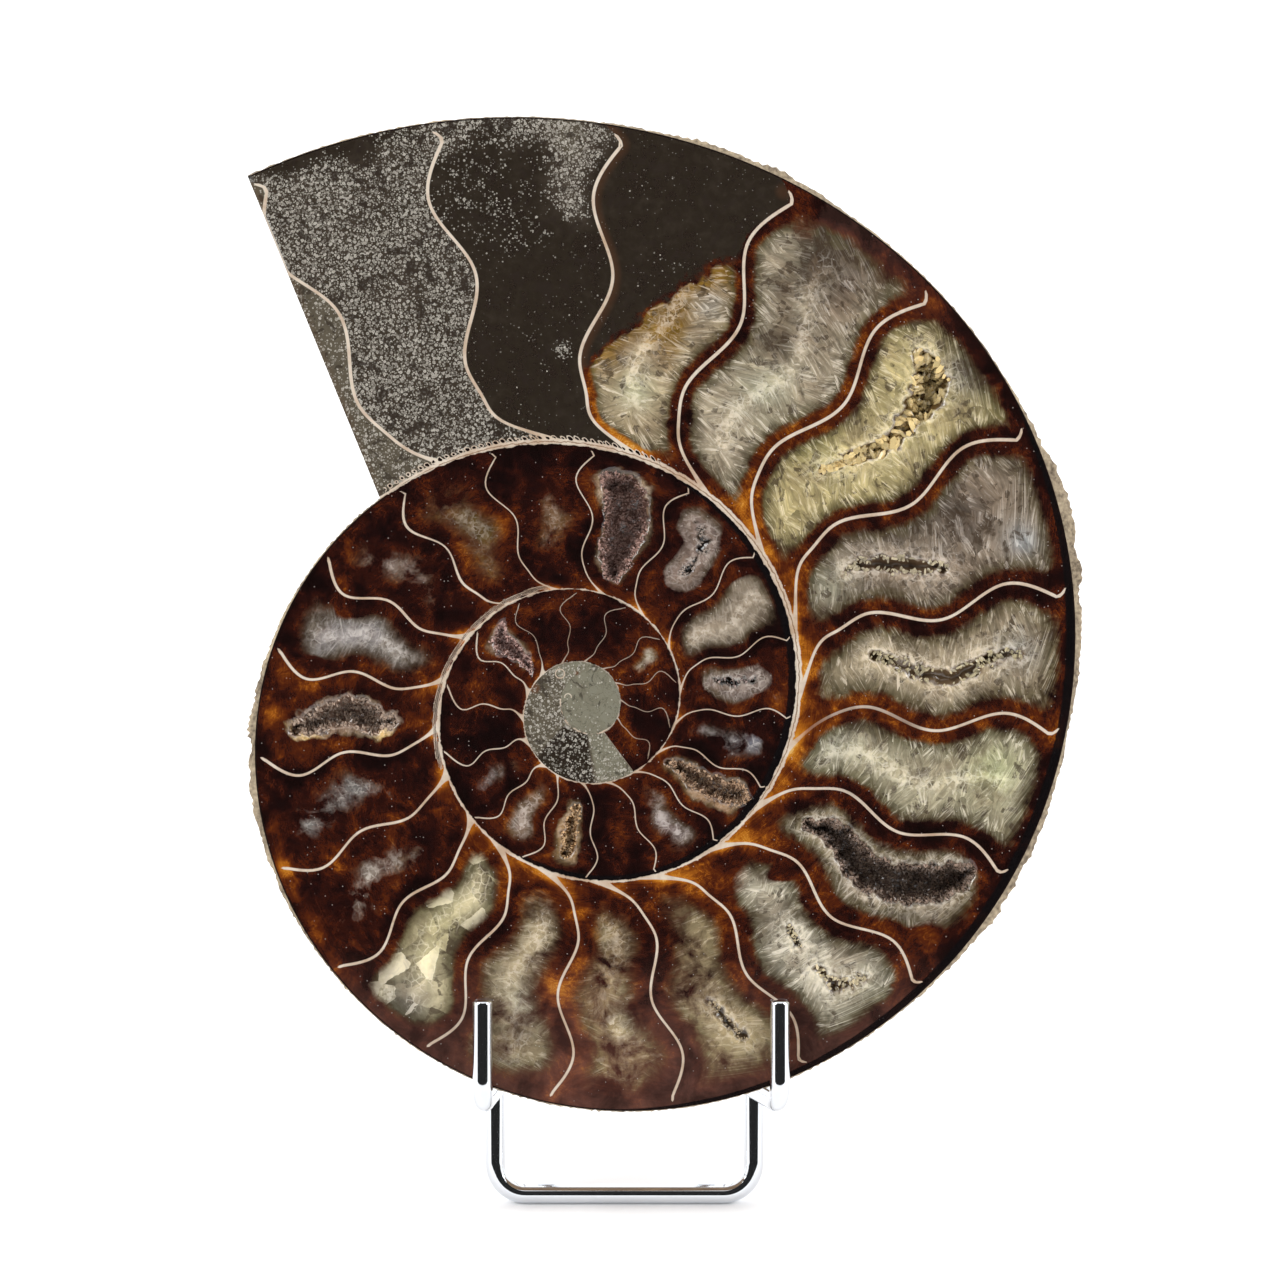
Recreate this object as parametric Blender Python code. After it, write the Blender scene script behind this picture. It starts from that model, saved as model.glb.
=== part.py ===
"""Half of a polished ammonite, leaning in a small display stand of bent chrome-plated wire.

The fossil and the stand are laid out in the plane of the polished face: X runs to the right and Z up
the face, both from the middle of the spiral, and Y runs into the fossil, away from the face.
An empty then leans all of it back, and sets the middle of its footprint on the origin.
"""

import math

import bmesh
import bpy
from mathutils import Vector, noise

MM = 0.001

# The spiral: radius of the shell's outer wall in mm, one value each eighth of a turn inwards,
# from the aperture to the heart of the shell.
WHORL_RADII = (
    95.4, 86.7, 80.3, 72.3, 65.4, 60.0, 53.9, 48.0,
    42.7, 38.4, 34.8, 31.6, 28.9, 26.0, 23.5, 21.1,
    18.8, 17.0, 15.6, 14.3, 12.8, 11.6, 10.1, 8.4,
    7.1, 6.3, 5.9, 5.6, 5.2, 4.4, 3.6,
)  # fmt: skip
WHORL_STEP = 45.0
APERTURE_BEARING = 130.0

# The sawn aperture runs straight from the tip to the inner whorl.
TIP_TURN = 7.6
JUNCTION_TURN = -4.3
JUNCTION_RADIUS = 43.8
INNER_WHORL_TURN = -5.1

# The flank: its greatest half width, the seam where it meets the whorl inside it, and the ribs.
HALF_WIDTH_RATIO = 0.18
SEAM_RATIO = 0.27
SHOULDER_SPAN = 0.17
CORE_DEPTH = 5.2
CORE_RADIUS = 15.0
RIB_COUNT = 28
RIB_HEIGHT = 0.55
RIB_SWEEP = 14.0

# The rim: the shell stands out past the polished edge by a thin ragged ledge.
RIM_DEPTH = 1.2
LEDGE_PLAIN = 0.25

# The mesh of the fossil: columns round the spiral and rings in towards its middle.
COLUMN_STEP = 2.5
CUT_COLUMNS = 8
RINGS = (0.985, 0.955, 0.91, 0.85, 0.77, 0.68, 0.58, 0.48, 0.40, 0.335, 0.29, 0.26, 0.20, 0.13, 0.07)

# The open hollows: each spine is (right, up, half width) in mm, and then how deep it goes.
HOLLOWS = {
    "yellow": (
        (
            (51.0, 52.3, 1.2), (52.0, 49.6, 2.4), (51.9, 46.8, 2.8), (49.4, 43.4, 1.9), (47.2, 40.6, 1.4),
            (44.2, 38.3, 1.4), (40.8, 37.0, 1.0), (36.0, 35.3, 0.6),
        ),
        2.8,
    ),
    "long_slit": (
        ((40.2, 20.4, 0.5), (42.4, 21.2, 0.8), (46.0, 21.3, 1.0), (50.5, 21.0, 1.2), (54.2, 20.6, 0.8)),
        2.4,
    ),
    "ridged_slit": (
        (
            (43.8, 7.0, 0.6), (48.0, 5.9, 0.7), (54.2, 4.1, 0.9), (58.4, 5.8, 0.9), (62.0, 7.2, 1.0),
            (65.6, 7.4, 0.6),
        ),
        2.2,
    ),
    "dark": (
        (
            (33.8, -18.2, 0.9), (37.6, -19.2, 1.9), (40.4, -22.6, 2.5), (43.6, -25.6, 2.9), (48.2, -26.9, 3.1),
            (53.2, -27.0, 3.1), (57.2, -26.8, 2.6), (59.2, -26.6, 1.1),
        ),
        4.2,
    ),
    "left": (
        (
            (-43.0, -3.6, 1.1), (-40.0, -2.6, 1.8), (-36.6, -1.4, 2.3), (-33.4, -1.5, 2.6),
            (-30.8, -2.9, 1.7), (-28.4, -2.2, 0.7),
        ),
        2.8,
    ),
    "mauve": (
        (
            (3.4, 34.0, 0.8), (6.0, 31.8, 2.9), (6.6, 28.4, 3.5), (5.8, 24.6, 3.1), (4.8, 21.6, 2.3),
            (4.9, 18.9, 1.1),
        ),
        3.0,
    ),
    "tan": (((13.4, -9.1, 0.7), (16.6, -10.8, 1.7), (20.2, -12.8, 2.0), (23.0, -13.3, 1.8), (24.6, -13.5, 0.8)), 2.2),
    "narrow": (((-1.0, -15.4, 0.6), (-1.6, -18.0, 1.1), (-2.2, -20.6, 1.2), (-2.7, -22.8, 0.7)), 1.8),
    "inner": (((-12.0, 11.6, 0.7), (-12.2, 9.6, 1.7), (-10.2, 7.9, 1.4), (-7.7, 5.1, 0.6)), 1.8),
}
CRUSTED = ("yellow", "dark", "left", "mauve", "tan", "narrow", "inner")
HOLLOW_STEPS = 2
HOLLOW_TAPER = 0.7
CRUST_GAP = 0.4
CRUST_THICKNESS = 0.75
CRYSTAL_HEIGHT = 0.45

# The stand: one wire size throughout.
WIRE = 3.0
WIRE_SIDES_RESOLUTION = 4
WELD_GAP = 0.3
LEAN = 15.0
FRAME_MIDDLE = 6.2
FRAME_HALF_WIDTH = 20.0
FRAME_BOTTOM = -76.2
FRAME_TOP = 36.0
FRAME_DEPTH = 18.6
FRAME_CORNER = 4.6
LEG_HALF_WIDTH = 14.0
LEG_SPLAY = 24.0
LEG_CORNER = 6.0
HOOK_HEIGHT = -59.7
PRONG_TOP = -44.2
PRONG_GAP = 0.6
HOOK_BEND = 3.2
HOOKS = {"left": (-13.8, -14.9), "right": (26.2, 29.5)}
CORNER_STEPS = 6


def whorl_radius(turn):
    """Radius of the outer wall, in mm, after this many degrees inwards from the aperture."""
    place = turn / WHORL_STEP
    first = min(max(math.floor(place), 0), len(WHORL_RADII) - 2)
    logs = [math.log(radius) for radius in WHORL_RADII]

    def slope(index):
        before = max(index - 1, 0)
        after = min(index + 1, len(logs) - 1)
        return (logs[after] - logs[before]) / (after - before)

    t = place - first
    if t < 0:
        return math.exp(logs[0] + t * slope(0))
    rise = 3 * t**2 - 2 * t**3
    lead_in = t**3 - 2 * t**2 + t
    lead_out = t**3 - t**2
    log_radius = (
        (1 - rise) * logs[first]
        + rise * logs[first + 1]
        + lead_in * slope(first)
        + lead_out * slope(first + 1)
    )
    return math.exp(log_radius)


def on_face(turn, radius):
    """The point (right, up) in mm at this turn and radius."""
    bearing = math.radians(APERTURE_BEARING - turn)
    return radius * math.cos(bearing), radius * math.sin(bearing)


def edge_radius(turn):
    """Radius of the polished outline: the spiral, or the straight sawn cut across the aperture."""
    if turn >= TIP_TURN:
        return whorl_radius(turn)
    tip = Vector(on_face(TIP_TURN, whorl_radius(TIP_TURN)))
    junction = Vector(on_face(JUNCTION_TURN, JUNCTION_RADIUS))
    ray = Vector(on_face(turn, 1.0))
    along = tip - junction
    return (junction.x * along.y - junction.y * along.x) / (ray.x * along.y - ray.y * along.x)


def ledge(turn):
    """How far the ragged shell stands out past the polished edge, in mm."""
    right = 1.9 * math.exp(-(((turn - 78) / 26) ** 2)) + 1.2 * math.exp(-(((turn - 150) / 16) ** 2))
    left = 1.2 * math.exp(-(((turn - 300) / 22) ** 2))
    ragged = 0.75 + 0.5 * noise.noise(Vector((turn / 6.0, 3.1, 0.0)))
    return LEDGE_PLAIN + (right + left) * ragged


def whorl_depth(turn, radius):
    """Depth of one whorl's flank below the face, in mm: steep at its seam, falling to the rim."""
    outer = whorl_radius(turn)
    seam = SEAM_RATIO * outer
    across = (radius - seam) / (outer - seam)
    if not 0 < across < 1:
        return 0.0
    climb = min(across / SHOULDER_SPAN, 1.0)
    shoulder = math.sin(climb * math.pi / 2) ** 0.8
    fall = (1 - across**2.3) ** 0.52
    rib = math.cos(math.radians(RIB_COUNT * (turn - RIB_SWEEP * (across - 0.5) ** 2)))
    ribs = RIB_HEIGHT * rib * math.sin(math.pi * across) * outer / WHORL_RADII[0]
    return HALF_WIDTH_RATIO * outer * shoulder * fall + ribs


def flank_depth(turn, radius):
    """Depth of the back at a point of the face, in mm: the outermost whorl that covers it."""
    core = CORE_DEPTH * max(1 - (radius / CORE_RADIUS) ** 2, 0)
    depths = [core]
    while turn < WHORL_STEP * (len(WHORL_RADII) - 1):
        depths.append(whorl_depth(turn, radius))
        turn += 360
    return max(depths)


def column_turns():
    """The turns at which the fossil's mesh has a column, across the sawn cut and round the spiral."""
    cut = [JUNCTION_TURN + (TIP_TURN - JUNCTION_TURN) * i / CUT_COLUMNS for i in range(CUT_COLUMNS + 1)]
    count = round((360 + INNER_WHORL_TURN - TIP_TURN) / COLUMN_STEP)
    step = (360 + INNER_WHORL_TURN - TIP_TURN) / count
    return cut, [TIP_TURN + step * i for i in range(1, count + 1)]


def material(name, colour, roughness, metallic=0.0):
    """A Principled finish."""
    finish = bpy.data.materials.new(name)
    finish.use_nodes = True
    shader = finish.node_tree.nodes["Principled BSDF"]
    shader.inputs["Base Color"].default_value = (*colour, 1.0)
    shader.inputs["Roughness"].default_value = roughness
    shader.inputs["Metallic"].default_value = metallic
    finish.diffuse_color = (*colour, 1.0)
    return finish


def add_object(name, mesh, parent, finish=None):
    """Puts a mesh or a curve in the scene under its parent."""
    obj = bpy.data.objects.new(name, mesh)
    bpy.context.scene.collection.objects.link(obj)
    obj.parent = parent
    if finish:
        mesh.materials.append(finish)
    return obj


def mesh_object(name, bm, parent, finish=None):
    """Turns a bmesh into an object whose faces point out."""
    bmesh.ops.recalc_face_normals(bm, faces=bm.faces)
    mesh = bpy.data.meshes.new(name)
    bm.to_mesh(mesh)
    bm.free()
    return add_object(name, mesh, parent, finish)


def bridge(bm, first, second):
    """Quads between two closed rings of as many points."""
    for i in range(len(first)):
        j = (i + 1) % len(first)
        bm.faces.new((first[i], first[j], second[j], second[i]))


def fossil_blank():
    """The fossil before its hollows: flat face, ragged rim, sawn cut and ribbed flank."""
    bm = bmesh.new()

    def point(turn, radius, depth):
        right, up = on_face(turn, radius)
        return bm.verts.new((right * MM, depth * MM, up * MM))

    cut, spiral = column_turns()
    turns = cut + spiral
    edges = [edge_radius(turn) for turn in turns]
    face_ring = [point(turn, edge, 0) for turn, edge in zip(turns, edges)]
    rim_ring = []
    for turn, edge in zip(turns, edges):
        if turn < TIP_TURN:
            rim_ring.append(point(turn, edge, max(flank_depth(turn, edge - 0.01), RIM_DEPTH)))
        else:
            rim_ring.append(point(turn, edge + ledge(turn), RIM_DEPTH))
    bm.faces.new(face_ring)
    bridge(bm, face_ring, rim_ring)
    last = rim_ring
    for share in RINGS:
        ring = [point(turn, edge * share, flank_depth(turn, edge * share)) for turn, edge in zip(turns, edges)]
        bridge(bm, last, ring)
        last = ring
    centre = bm.verts.new((0, CORE_DEPTH * MM, 0))
    for i, vert in enumerate(last):
        bm.faces.new((vert, last[(i + 1) % len(last)], centre))
    return bm


def spine_points(spine):
    """Points along a smooth line through a hollow's spine, each with its direction and half width."""
    ends = [Vector(spine[0]) * 2 - Vector(spine[1]), Vector(spine[-1]) * 2 - Vector(spine[-2])]
    knots = [ends[0], *map(Vector, spine), ends[1]]
    places = []
    for i in range(1, len(knots) - 2):
        for step in range(HOLLOW_STEPS):
            places.append((i, step / HOLLOW_STEPS))
    places.append((len(knots) - 3, 1.0))
    points = []
    for i, t in places:
        before, here, after, beyond = knots[i - 1 : i + 3]
        a = (after - before) / 2
        b = (beyond - here) / 2
        curve = here + t * a + t**2 * (3 * (after - here) - 2 * a - b) + t**3 * (2 * (here - after) + a + b)
        way = a + 2 * t * (3 * (after - here) - 2 * a - b) + 3 * t**2 * (2 * (here - after) + a + b)
        points.append((curve, Vector((way.x, way.y)).normalized()))
    return points


def across_spine(curve, way, offset, depth):
    """A point beside the spine, to its left where the offset is positive."""
    return (
        (curve.x - way.y * offset) * MM,
        depth * MM,
        (curve.y + way.x * offset) * MM,
    )


def loft(bm, sections):
    """A closed solid through sections of as many points each."""
    rings = [[bm.verts.new(place) for place in section] for section in sections]
    for first, second in zip(rings, rings[1:]):
        bridge(bm, first, second)
    bm.faces.new(rings[0])
    bm.faces.new(rings[-1])
    return rings


def hollow_cutter(name, spine, depth, parent):
    """What is cut out of the fossil to leave one hollow."""
    bm = bmesh.new()
    sections = []
    for curve, way in spine_points(spine):
        wide = curve.z
        narrow = wide * HOLLOW_TAPER
        sections.append(
            [
                across_spine(curve, way, wide, -1.0),
                across_spine(curve, way, wide, 0.5),
                across_spine(curve, way, narrow, depth),
                across_spine(curve, way, -narrow, depth),
                across_spine(curve, way, -wide, 0.5),
                across_spine(curve, way, -wide, -1.0),
            ]
        )
    loft(bm, sections)
    cutter = mesh_object(f"cutter_{name}", bm, parent)
    cutter.hide_render = True
    cutter.display_type = "WIRE"
    return cutter


def crystal_crust(name, spine, depth, parent, finish):
    """The crust of crystals that lines one hollow: a channel whose inner faces rise to points."""
    bm = bmesh.new()
    sections = []
    for curve, way in spine_points(spine):
        outer = curve.z - CRUST_GAP
        foot = curve.z * HOLLOW_TAPER - CRUST_GAP
        inner = max(outer - CRUST_THICKNESS, outer * 0.4)
        inner_foot = max(foot - CRUST_THICKNESS, foot * 0.4)
        floor = depth - CRUST_GAP
        sections.append(
            [
                across_spine(curve, way, outer, 0.6),
                across_spine(curve, way, foot, floor),
                across_spine(curve, way, -foot, floor),
                across_spine(curve, way, -outer, 0.6),
                across_spine(curve, way, -inner, 0.6),
                across_spine(curve, way, -inner_foot, floor - CRUST_THICKNESS),
                across_spine(curve, way, inner_foot, floor - CRUST_THICKNESS),
                across_spine(curve, way, inner, 0.6),
            ]
        )
    sections = sections[1:-1]
    rings = loft(bm, sections)
    bmesh.ops.recalc_face_normals(bm, faces=bm.faces)
    lining = []
    for first, second in zip(rings, rings[1:]):
        for j in (4, 5, 6):
            corners = {first[j], first[j + 1], second[j], second[j + 1]}
            lining += [face for face in first[j].link_faces if set(face.verts) == corners]
    for face in lining:
        size = math.sqrt(face.calc_area()) / MM
        height = min(CRYSTAL_HEIGHT, size * 0.35)
        bmesh.ops.poke(bm, faces=[face], offset=height * MM)
    return mesh_object(f"crystals_{name}_hollow", bm, parent, finish)


def wire(name, points, parent, finish, closed=False, tilt=0.0):
    """A round wire along the points, in mm."""
    curve = bpy.data.curves.new(name, "CURVE")
    curve.dimensions = "3D"
    curve.bevel_depth = WIRE / 2 * MM
    curve.bevel_resolution = WIRE_SIDES_RESOLUTION
    curve.use_fill_caps = True
    curve.resolution_u = 1
    spline = curve.splines.new("POLY")
    spline.points.add(len(points) - 1)
    for spot, place in zip(spline.points, points):
        spot.co = (*(MM * value for value in place), 1.0)
        spot.tilt = tilt
    spline.use_cyclic_u = closed
    spline.use_smooth = True
    return add_object(name, curve, parent, finish)


def bend(before, corner, after, radius):
    """Points round a bend between two straight runs of wire, as an arc of this centreline radius."""
    corner = Vector(corner)
    back = (Vector(before) - corner).normalized()
    ahead = (Vector(after) - corner).normalized()
    half = back.angle(ahead) / 2
    centre = corner + (back + ahead).normalized() * (radius / math.sin(half))
    start = corner + back * (radius / math.tan(half)) - centre
    finish = corner + ahead * (radius / math.tan(half)) - centre
    sweep = start.angle(finish)
    points = []
    for i in range(CORNER_STEPS + 1):
        t = i / CORNER_STEPS
        spoke = start * math.sin((1 - t) * sweep) + finish * math.sin(t * sweep)
        points.append(tuple(centre + spoke / math.sin(sweep)))
    return points


def bent_route(corners, radius, closed=False):
    """A wire's route through its corners, each one bent to this radius."""
    count = len(corners)
    points = [] if closed else [corners[0]]
    for i in range(0 if closed else 1, count if closed else count - 1):
        points += bend(corners[i - 1], corners[i], corners[(i + 1) % count], radius)
    if not closed:
        points.append(corners[-1])
    return points


def stand_frame(parent, finish):
    """The closed front frame: bar on the table, sides behind the fossil and top bar."""
    left = FRAME_MIDDLE - FRAME_HALF_WIDTH
    right = FRAME_MIDDLE + FRAME_HALF_WIDTH
    corners = [
        (left, FRAME_DEPTH, FRAME_BOTTOM),
        (right, FRAME_DEPTH, FRAME_BOTTOM),
        (right, FRAME_DEPTH, FRAME_TOP),
        (left, FRAME_DEPTH, FRAME_TOP),
    ]
    route = bent_route(corners, FRAME_CORNER, closed=True)
    return wire("stand_frame", route, parent, finish, closed=True)


def stand_rear_leg(display, finish):
    """The rear leg, a U of wire hung from the top bar, whose own bar stands level with the front one."""
    lean = math.radians(LEAN)
    splay = math.radians(LEG_SPLAY)
    top_height = (FRAME_TOP - FRAME_BOTTOM) * math.cos(lean)
    offset = WIRE + WELD_GAP
    length = (top_height + offset * math.sin(splay)) / math.cos(splay)
    pivot = bpy.data.objects.new("rear_leg_pivot", None)
    bpy.context.scene.collection.objects.link(pivot)
    pivot.parent = display
    pivot.location = (FRAME_MIDDLE * MM, FRAME_DEPTH * MM, FRAME_TOP * MM)
    pivot.rotation_euler.x = lean + splay
    corners = [
        (-LEG_HALF_WIDTH, offset, WIRE / 2),
        (-LEG_HALF_WIDTH, offset, -length),
        (LEG_HALF_WIDTH, offset, -length),
        (LEG_HALF_WIDTH, offset, WIRE / 2),
    ]
    route = bent_route(corners, LEG_CORNER)
    flat_side_down = math.radians(LEAN - LEG_SPLAY)
    return wire("stand_rear_leg", route, pivot, finish, tilt=flat_side_down)


def stand_hook(side, parent, finish):
    """One hook: an arm from the frame out under the fossil, and the prong that keeps it from sliding."""
    root, tip = HOOKS[side]
    front = -(WIRE / 2 + PRONG_GAP)
    corners = [
        (root, FRAME_DEPTH - WIRE / 2 - WELD_GAP, HOOK_HEIGHT),
        (tip, front, HOOK_HEIGHT),
        (tip, front, PRONG_TOP),
    ]
    return wire(f"stand_hook_{side}", bent_route(corners, HOOK_BEND), parent, finish)


def centre_on_origin(display):
    """Moves the leaning display so that the middle of its footprint is the origin, at table height."""
    bpy.context.view_layer.update()
    graph = bpy.context.evaluated_depsgraph_get()
    low = Vector((math.inf,) * 3)
    high = Vector((-math.inf,) * 3)
    for obj in bpy.context.scene.objects:
        if obj.type == "EMPTY" or obj.hide_render:
            continue
        shape = obj.evaluated_get(graph)
        mesh = shape.to_mesh()
        for vert in mesh.vertices:
            place = shape.matrix_world @ vert.co
            low = Vector(map(min, low, place))
            high = Vector(map(max, high, place))
        shape.to_mesh_clear()
    display.location = (-(low.x + high.x) / 2, -(low.y + high.y) / 2, -low.z)


def main():
    for obj in list(bpy.data.objects):
        bpy.data.objects.remove(obj)

    display = bpy.data.objects.new("display", None)
    bpy.context.scene.collection.objects.link(display)
    display.rotation_euler.x = -math.radians(LEAN)

    stone = material("polished_ammonite", (0.16, 0.07, 0.03), 0.15)
    crystal = material("calcite_crystals", (0.55, 0.49, 0.38), 0.3)
    chrome = material("chrome_plated_wire", (0.78, 0.79, 0.81), 0.06, metallic=1.0)

    fossil = mesh_object("fossil_half", fossil_blank(), display, stone)
    for name, (spine, depth) in HOLLOWS.items():
        cut = fossil.modifiers.new(name, "BOOLEAN")
        cut.operation = "DIFFERENCE"
        cut.solver = "EXACT"
        cut.object = hollow_cutter(name, spine, depth, display)
    for name in CRUSTED:
        spine, depth = HOLLOWS[name]
        crystal_crust(name, spine, depth, display, crystal)

    stand_frame(display, chrome)
    stand_rear_leg(display, chrome)
    for side in HOOKS:
        stand_hook(side, display, chrome)
    centre_on_origin(display)


main()
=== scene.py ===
"""Looks of a polished ammonite half on a stand of chrome-plated wire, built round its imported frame.

The fossil and the stand are laid out in the plane of the polished face, in millimetres: right, up the
face and depth behind it, from the middle of the spiral. FaceFrame carries such points to the row frame.
A turn is counted in degrees inwards along the spiral, from the sawn aperture, and a share runs from 0 at
a whorl's inner wall to 1 at its outer one.
"""

import logging
import math
from dataclasses import dataclass
from enum import Enum

import bmesh
import bpy
import numpy as np
from mathutils import Matrix, Vector


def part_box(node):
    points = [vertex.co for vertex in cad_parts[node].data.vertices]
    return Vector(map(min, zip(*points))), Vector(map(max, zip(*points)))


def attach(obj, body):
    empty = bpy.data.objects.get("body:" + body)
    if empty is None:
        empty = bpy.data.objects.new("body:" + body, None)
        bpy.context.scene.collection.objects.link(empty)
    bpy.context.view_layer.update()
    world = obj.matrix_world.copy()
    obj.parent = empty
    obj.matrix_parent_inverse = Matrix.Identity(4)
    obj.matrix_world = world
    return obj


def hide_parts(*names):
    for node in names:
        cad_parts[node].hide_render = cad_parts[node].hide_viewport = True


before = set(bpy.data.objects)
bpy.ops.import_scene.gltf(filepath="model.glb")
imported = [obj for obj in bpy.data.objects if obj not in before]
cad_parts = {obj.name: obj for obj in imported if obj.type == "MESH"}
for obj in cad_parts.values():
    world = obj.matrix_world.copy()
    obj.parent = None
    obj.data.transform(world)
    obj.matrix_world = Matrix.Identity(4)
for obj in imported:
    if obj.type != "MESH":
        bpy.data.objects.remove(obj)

MM = 0.001
FAR = 5.0  # a distance in mm at which no line is drawn any more
LOG = logging.getLogger("ammonite")
Array = np.ndarray
Material = bpy.types.Material
Mesh = bpy.types.Mesh
Piece = bpy.types.Object
Socket = bpy.types.NodeSocket
Fields = dict[str, Socket]
Station = tuple[Vector, Vector, float]
Line = tuple[tuple[float, float], ...]


def linear(colour: str) -> tuple[float, float, float, float]:
    """Turns an sRGB hex colour, such as "A5500F", to the linear values a shader takes."""
    shares = [int(colour[i : i + 2], 16) / 255 for i in (0, 2, 4)]
    values = [s / 12.92 if s <= 0.04045 else ((s + 0.055) / 1.055) ** 2.4 for s in shares]
    return values[0], values[1], values[2], 1.0


def add_node(tree: bpy.types.NodeTree, kind: str, inputs: dict | None = None, **settings: object) -> bpy.types.Node:
    """Adds one shader node, with its settings, values and links.

    Args:
        tree: The node tree.
        kind: The node's type name.
        inputs: For each socket's name or number, a value, or the output socket that is linked to it.
        settings: The node's own properties.

    Returns:
        The node.
    """
    made = tree.nodes.new(kind)
    for name, value in settings.items():
        setattr(made, name, value)
    for socket, value in (inputs or {}).items():
        if isinstance(value, Socket):
            tree.links.new(value, made.inputs[socket])
        else:
            made.inputs[socket].default_value = value
    return made


class Step(Enum):
    """The steps a finish is worked out in: node, its own settings, sockets filled in order, and output."""

    PLACE = ("ShaderNodeTexCoord", {}, (), "Object")  # the place on the piece, in metres
    VECTOR = ("ShaderNodeAttribute", {}, (), "Vector")  # one of the mesh's attributes, as a vector
    COLOUR = ("ShaderNodeAttribute", {}, (), "Color")
    ALPHA = ("ShaderNodeAttribute", {}, (), "Alpha")
    FACTOR = ("ShaderNodeAttribute", {}, (), "Fac")
    PLUS = ("ShaderNodeMath", {"operation": "ADD"}, (0, 1), 0)
    MINUS = ("ShaderNodeMath", {"operation": "SUBTRACT"}, (0, 1), 0)
    TIMES = ("ShaderNodeMath", {"operation": "MULTIPLY"}, (0, 1), 0)
    MOST = ("ShaderNodeMath", {"operation": "MAXIMUM"}, (0, 1), 0)
    OVER = ("ShaderNodeMath", {"operation": "GREATER_THAN"}, (0, 1), 0)
    BESIDE = ("ShaderNodeMath", {"operation": "COMPARE"}, (0, 1, 2), 0)
    SIZE = ("ShaderNodeMath", {"operation": "ABSOLUTE"}, (0,), 0)
    ROOT = ("ShaderNodeMath", {"operation": "SQRT"}, (0,), 0)
    FOLD = ("ShaderNodeMath", {"operation": "PINGPONG"}, (0, 1), 0)
    SUM = ("ShaderNodeMath", {"operation": "MULTIPLY_ADD"}, (0, 1, 2), 0)  # a value, its factor, and the rest
    SPREAD = ("ShaderNodeMapRange", {}, (0, 1, 2, 3, 4), 0)  # low to high becomes start to end, 0 to 1 if not given
    BLEND = ("ShaderNodeMix", {}, (0, 2, 3), 0)
    MIX = ("ShaderNodeMix", {"data_type": "RGBA"}, (0, 6, 7), 2)
    RAMP = ("ShaderNodeValToRGB", {}, (0,), 0)
    BRIGHTEN = ("ShaderNodeVectorMath", {"operation": "SCALE"}, (0, "Scale"), 0)
    STRETCH = ("ShaderNodeVectorMath", {"operation": "MULTIPLY_ADD"}, (0, 1, 2), 0)
    SPLIT = ("ShaderNodeSeparateXYZ", {}, (0,), None)  # the three parts of a vector
    DICE = ("ShaderNodeSeparateColor", {}, (0,), None)  # the three parts of a colour, such as a cell's chances
    NOISE = ("ShaderNodeTexNoise", {}, ("Vector", "Scale", "Detail", "Roughness", "Distortion"), None)
    CELLS = ("ShaderNodeTexVoronoi", {}, ("Vector", "Scale"), None)


class Shade:
    """A new material, to which steps are added."""

    def __init__(self, name: str) -> None:
        """Starts the material under this name."""
        self.material = bpy.data.materials.new(name)
        self.material.use_nodes = True
        self.tree = self.material.node_tree
        self.shader = self.tree.nodes["Principled BSDF"]

    def set(self, **values: object) -> Material:
        """Sets or links the shader's sockets, named with _ for each space, and gives the material."""
        for name, value in values.items():
            socket = self.shader.inputs[name.replace("_", " ")]
            if isinstance(value, Socket):
                self.tree.links.new(value, socket)
            else:
                socket.default_value = value
        return self.material

    def add(self, step: Step, *values: object, stops: tuple = (), **settings: object) -> object:
        """Adds one step.

        Args:
            step: Which step.
            values: For each of its sockets in order, a value, a hex colour, or the output that is linked to it.
            stops: A ramp's places from 0 to 1, each with its hex colour.
            settings: More of the node's own properties.

        Returns:
            The step's output, or all of them where it has several.
        """
        kind, own, sockets, output = step.value
        inputs = {name: linear(v) if isinstance(v, str) else v for name, v in zip(sockets, values)}
        made = add_node(self.tree, kind, inputs, **own, **settings)
        if stops:
            elements = made.color_ramp.elements
            while len(elements) > 1:
                elements.remove(elements[-1])
            elements[0].position = stops[0][0]
            elements[0].color = linear(stops[0][1])
            for place, colour in stops[1:]:
                elements.new(place).color = linear(colour)
        return made.outputs if output is None else made.outputs[output]


def to_piece(bm: bmesh.types.BMesh, name: str, finishes: list[Material], smooth: bool = False) -> Piece:
    """Turns a bmesh into a piece in the scene.

    Args:
        bm: The shape, which is freed.
        name: The piece's name.
        finishes: Its materials.
        smooth: Whether its faces are shaded smoothly.

    Returns:
        The piece.
    """
    for face in bm.faces:
        face.smooth = smooth or face.smooth
    mesh = bpy.data.meshes.new(name)
    for finish in finishes:
        mesh.materials.append(finish)
    bm.to_mesh(mesh)
    bm.free()
    piece = bpy.data.objects.new(name, mesh)
    bpy.context.scene.collection.objects.link(piece)
    return piece


def dress(piece: Piece, node: str = "") -> None:
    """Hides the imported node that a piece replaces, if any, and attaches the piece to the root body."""
    if node:
        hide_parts(node)
    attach(piece, "root")
    LOG.info("%s: %d faces", piece.name, len(piece.data.polygons))


def smooth_step(low: float, high: float, value: Array) -> Array:
    """A smooth rise from 0 at low to 1 at high."""
    share = np.clip((value - low) / (high - low), 0, 1)
    return share * share * (3 - 2 * share)


def bell(value: Array, middle: float, width: float, power: float = 2) -> Array:
    """1 at the middle, falling away to both sides over this width, more steeply with a higher power."""
    return np.exp(-(((value - middle) / width) ** power))


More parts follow.
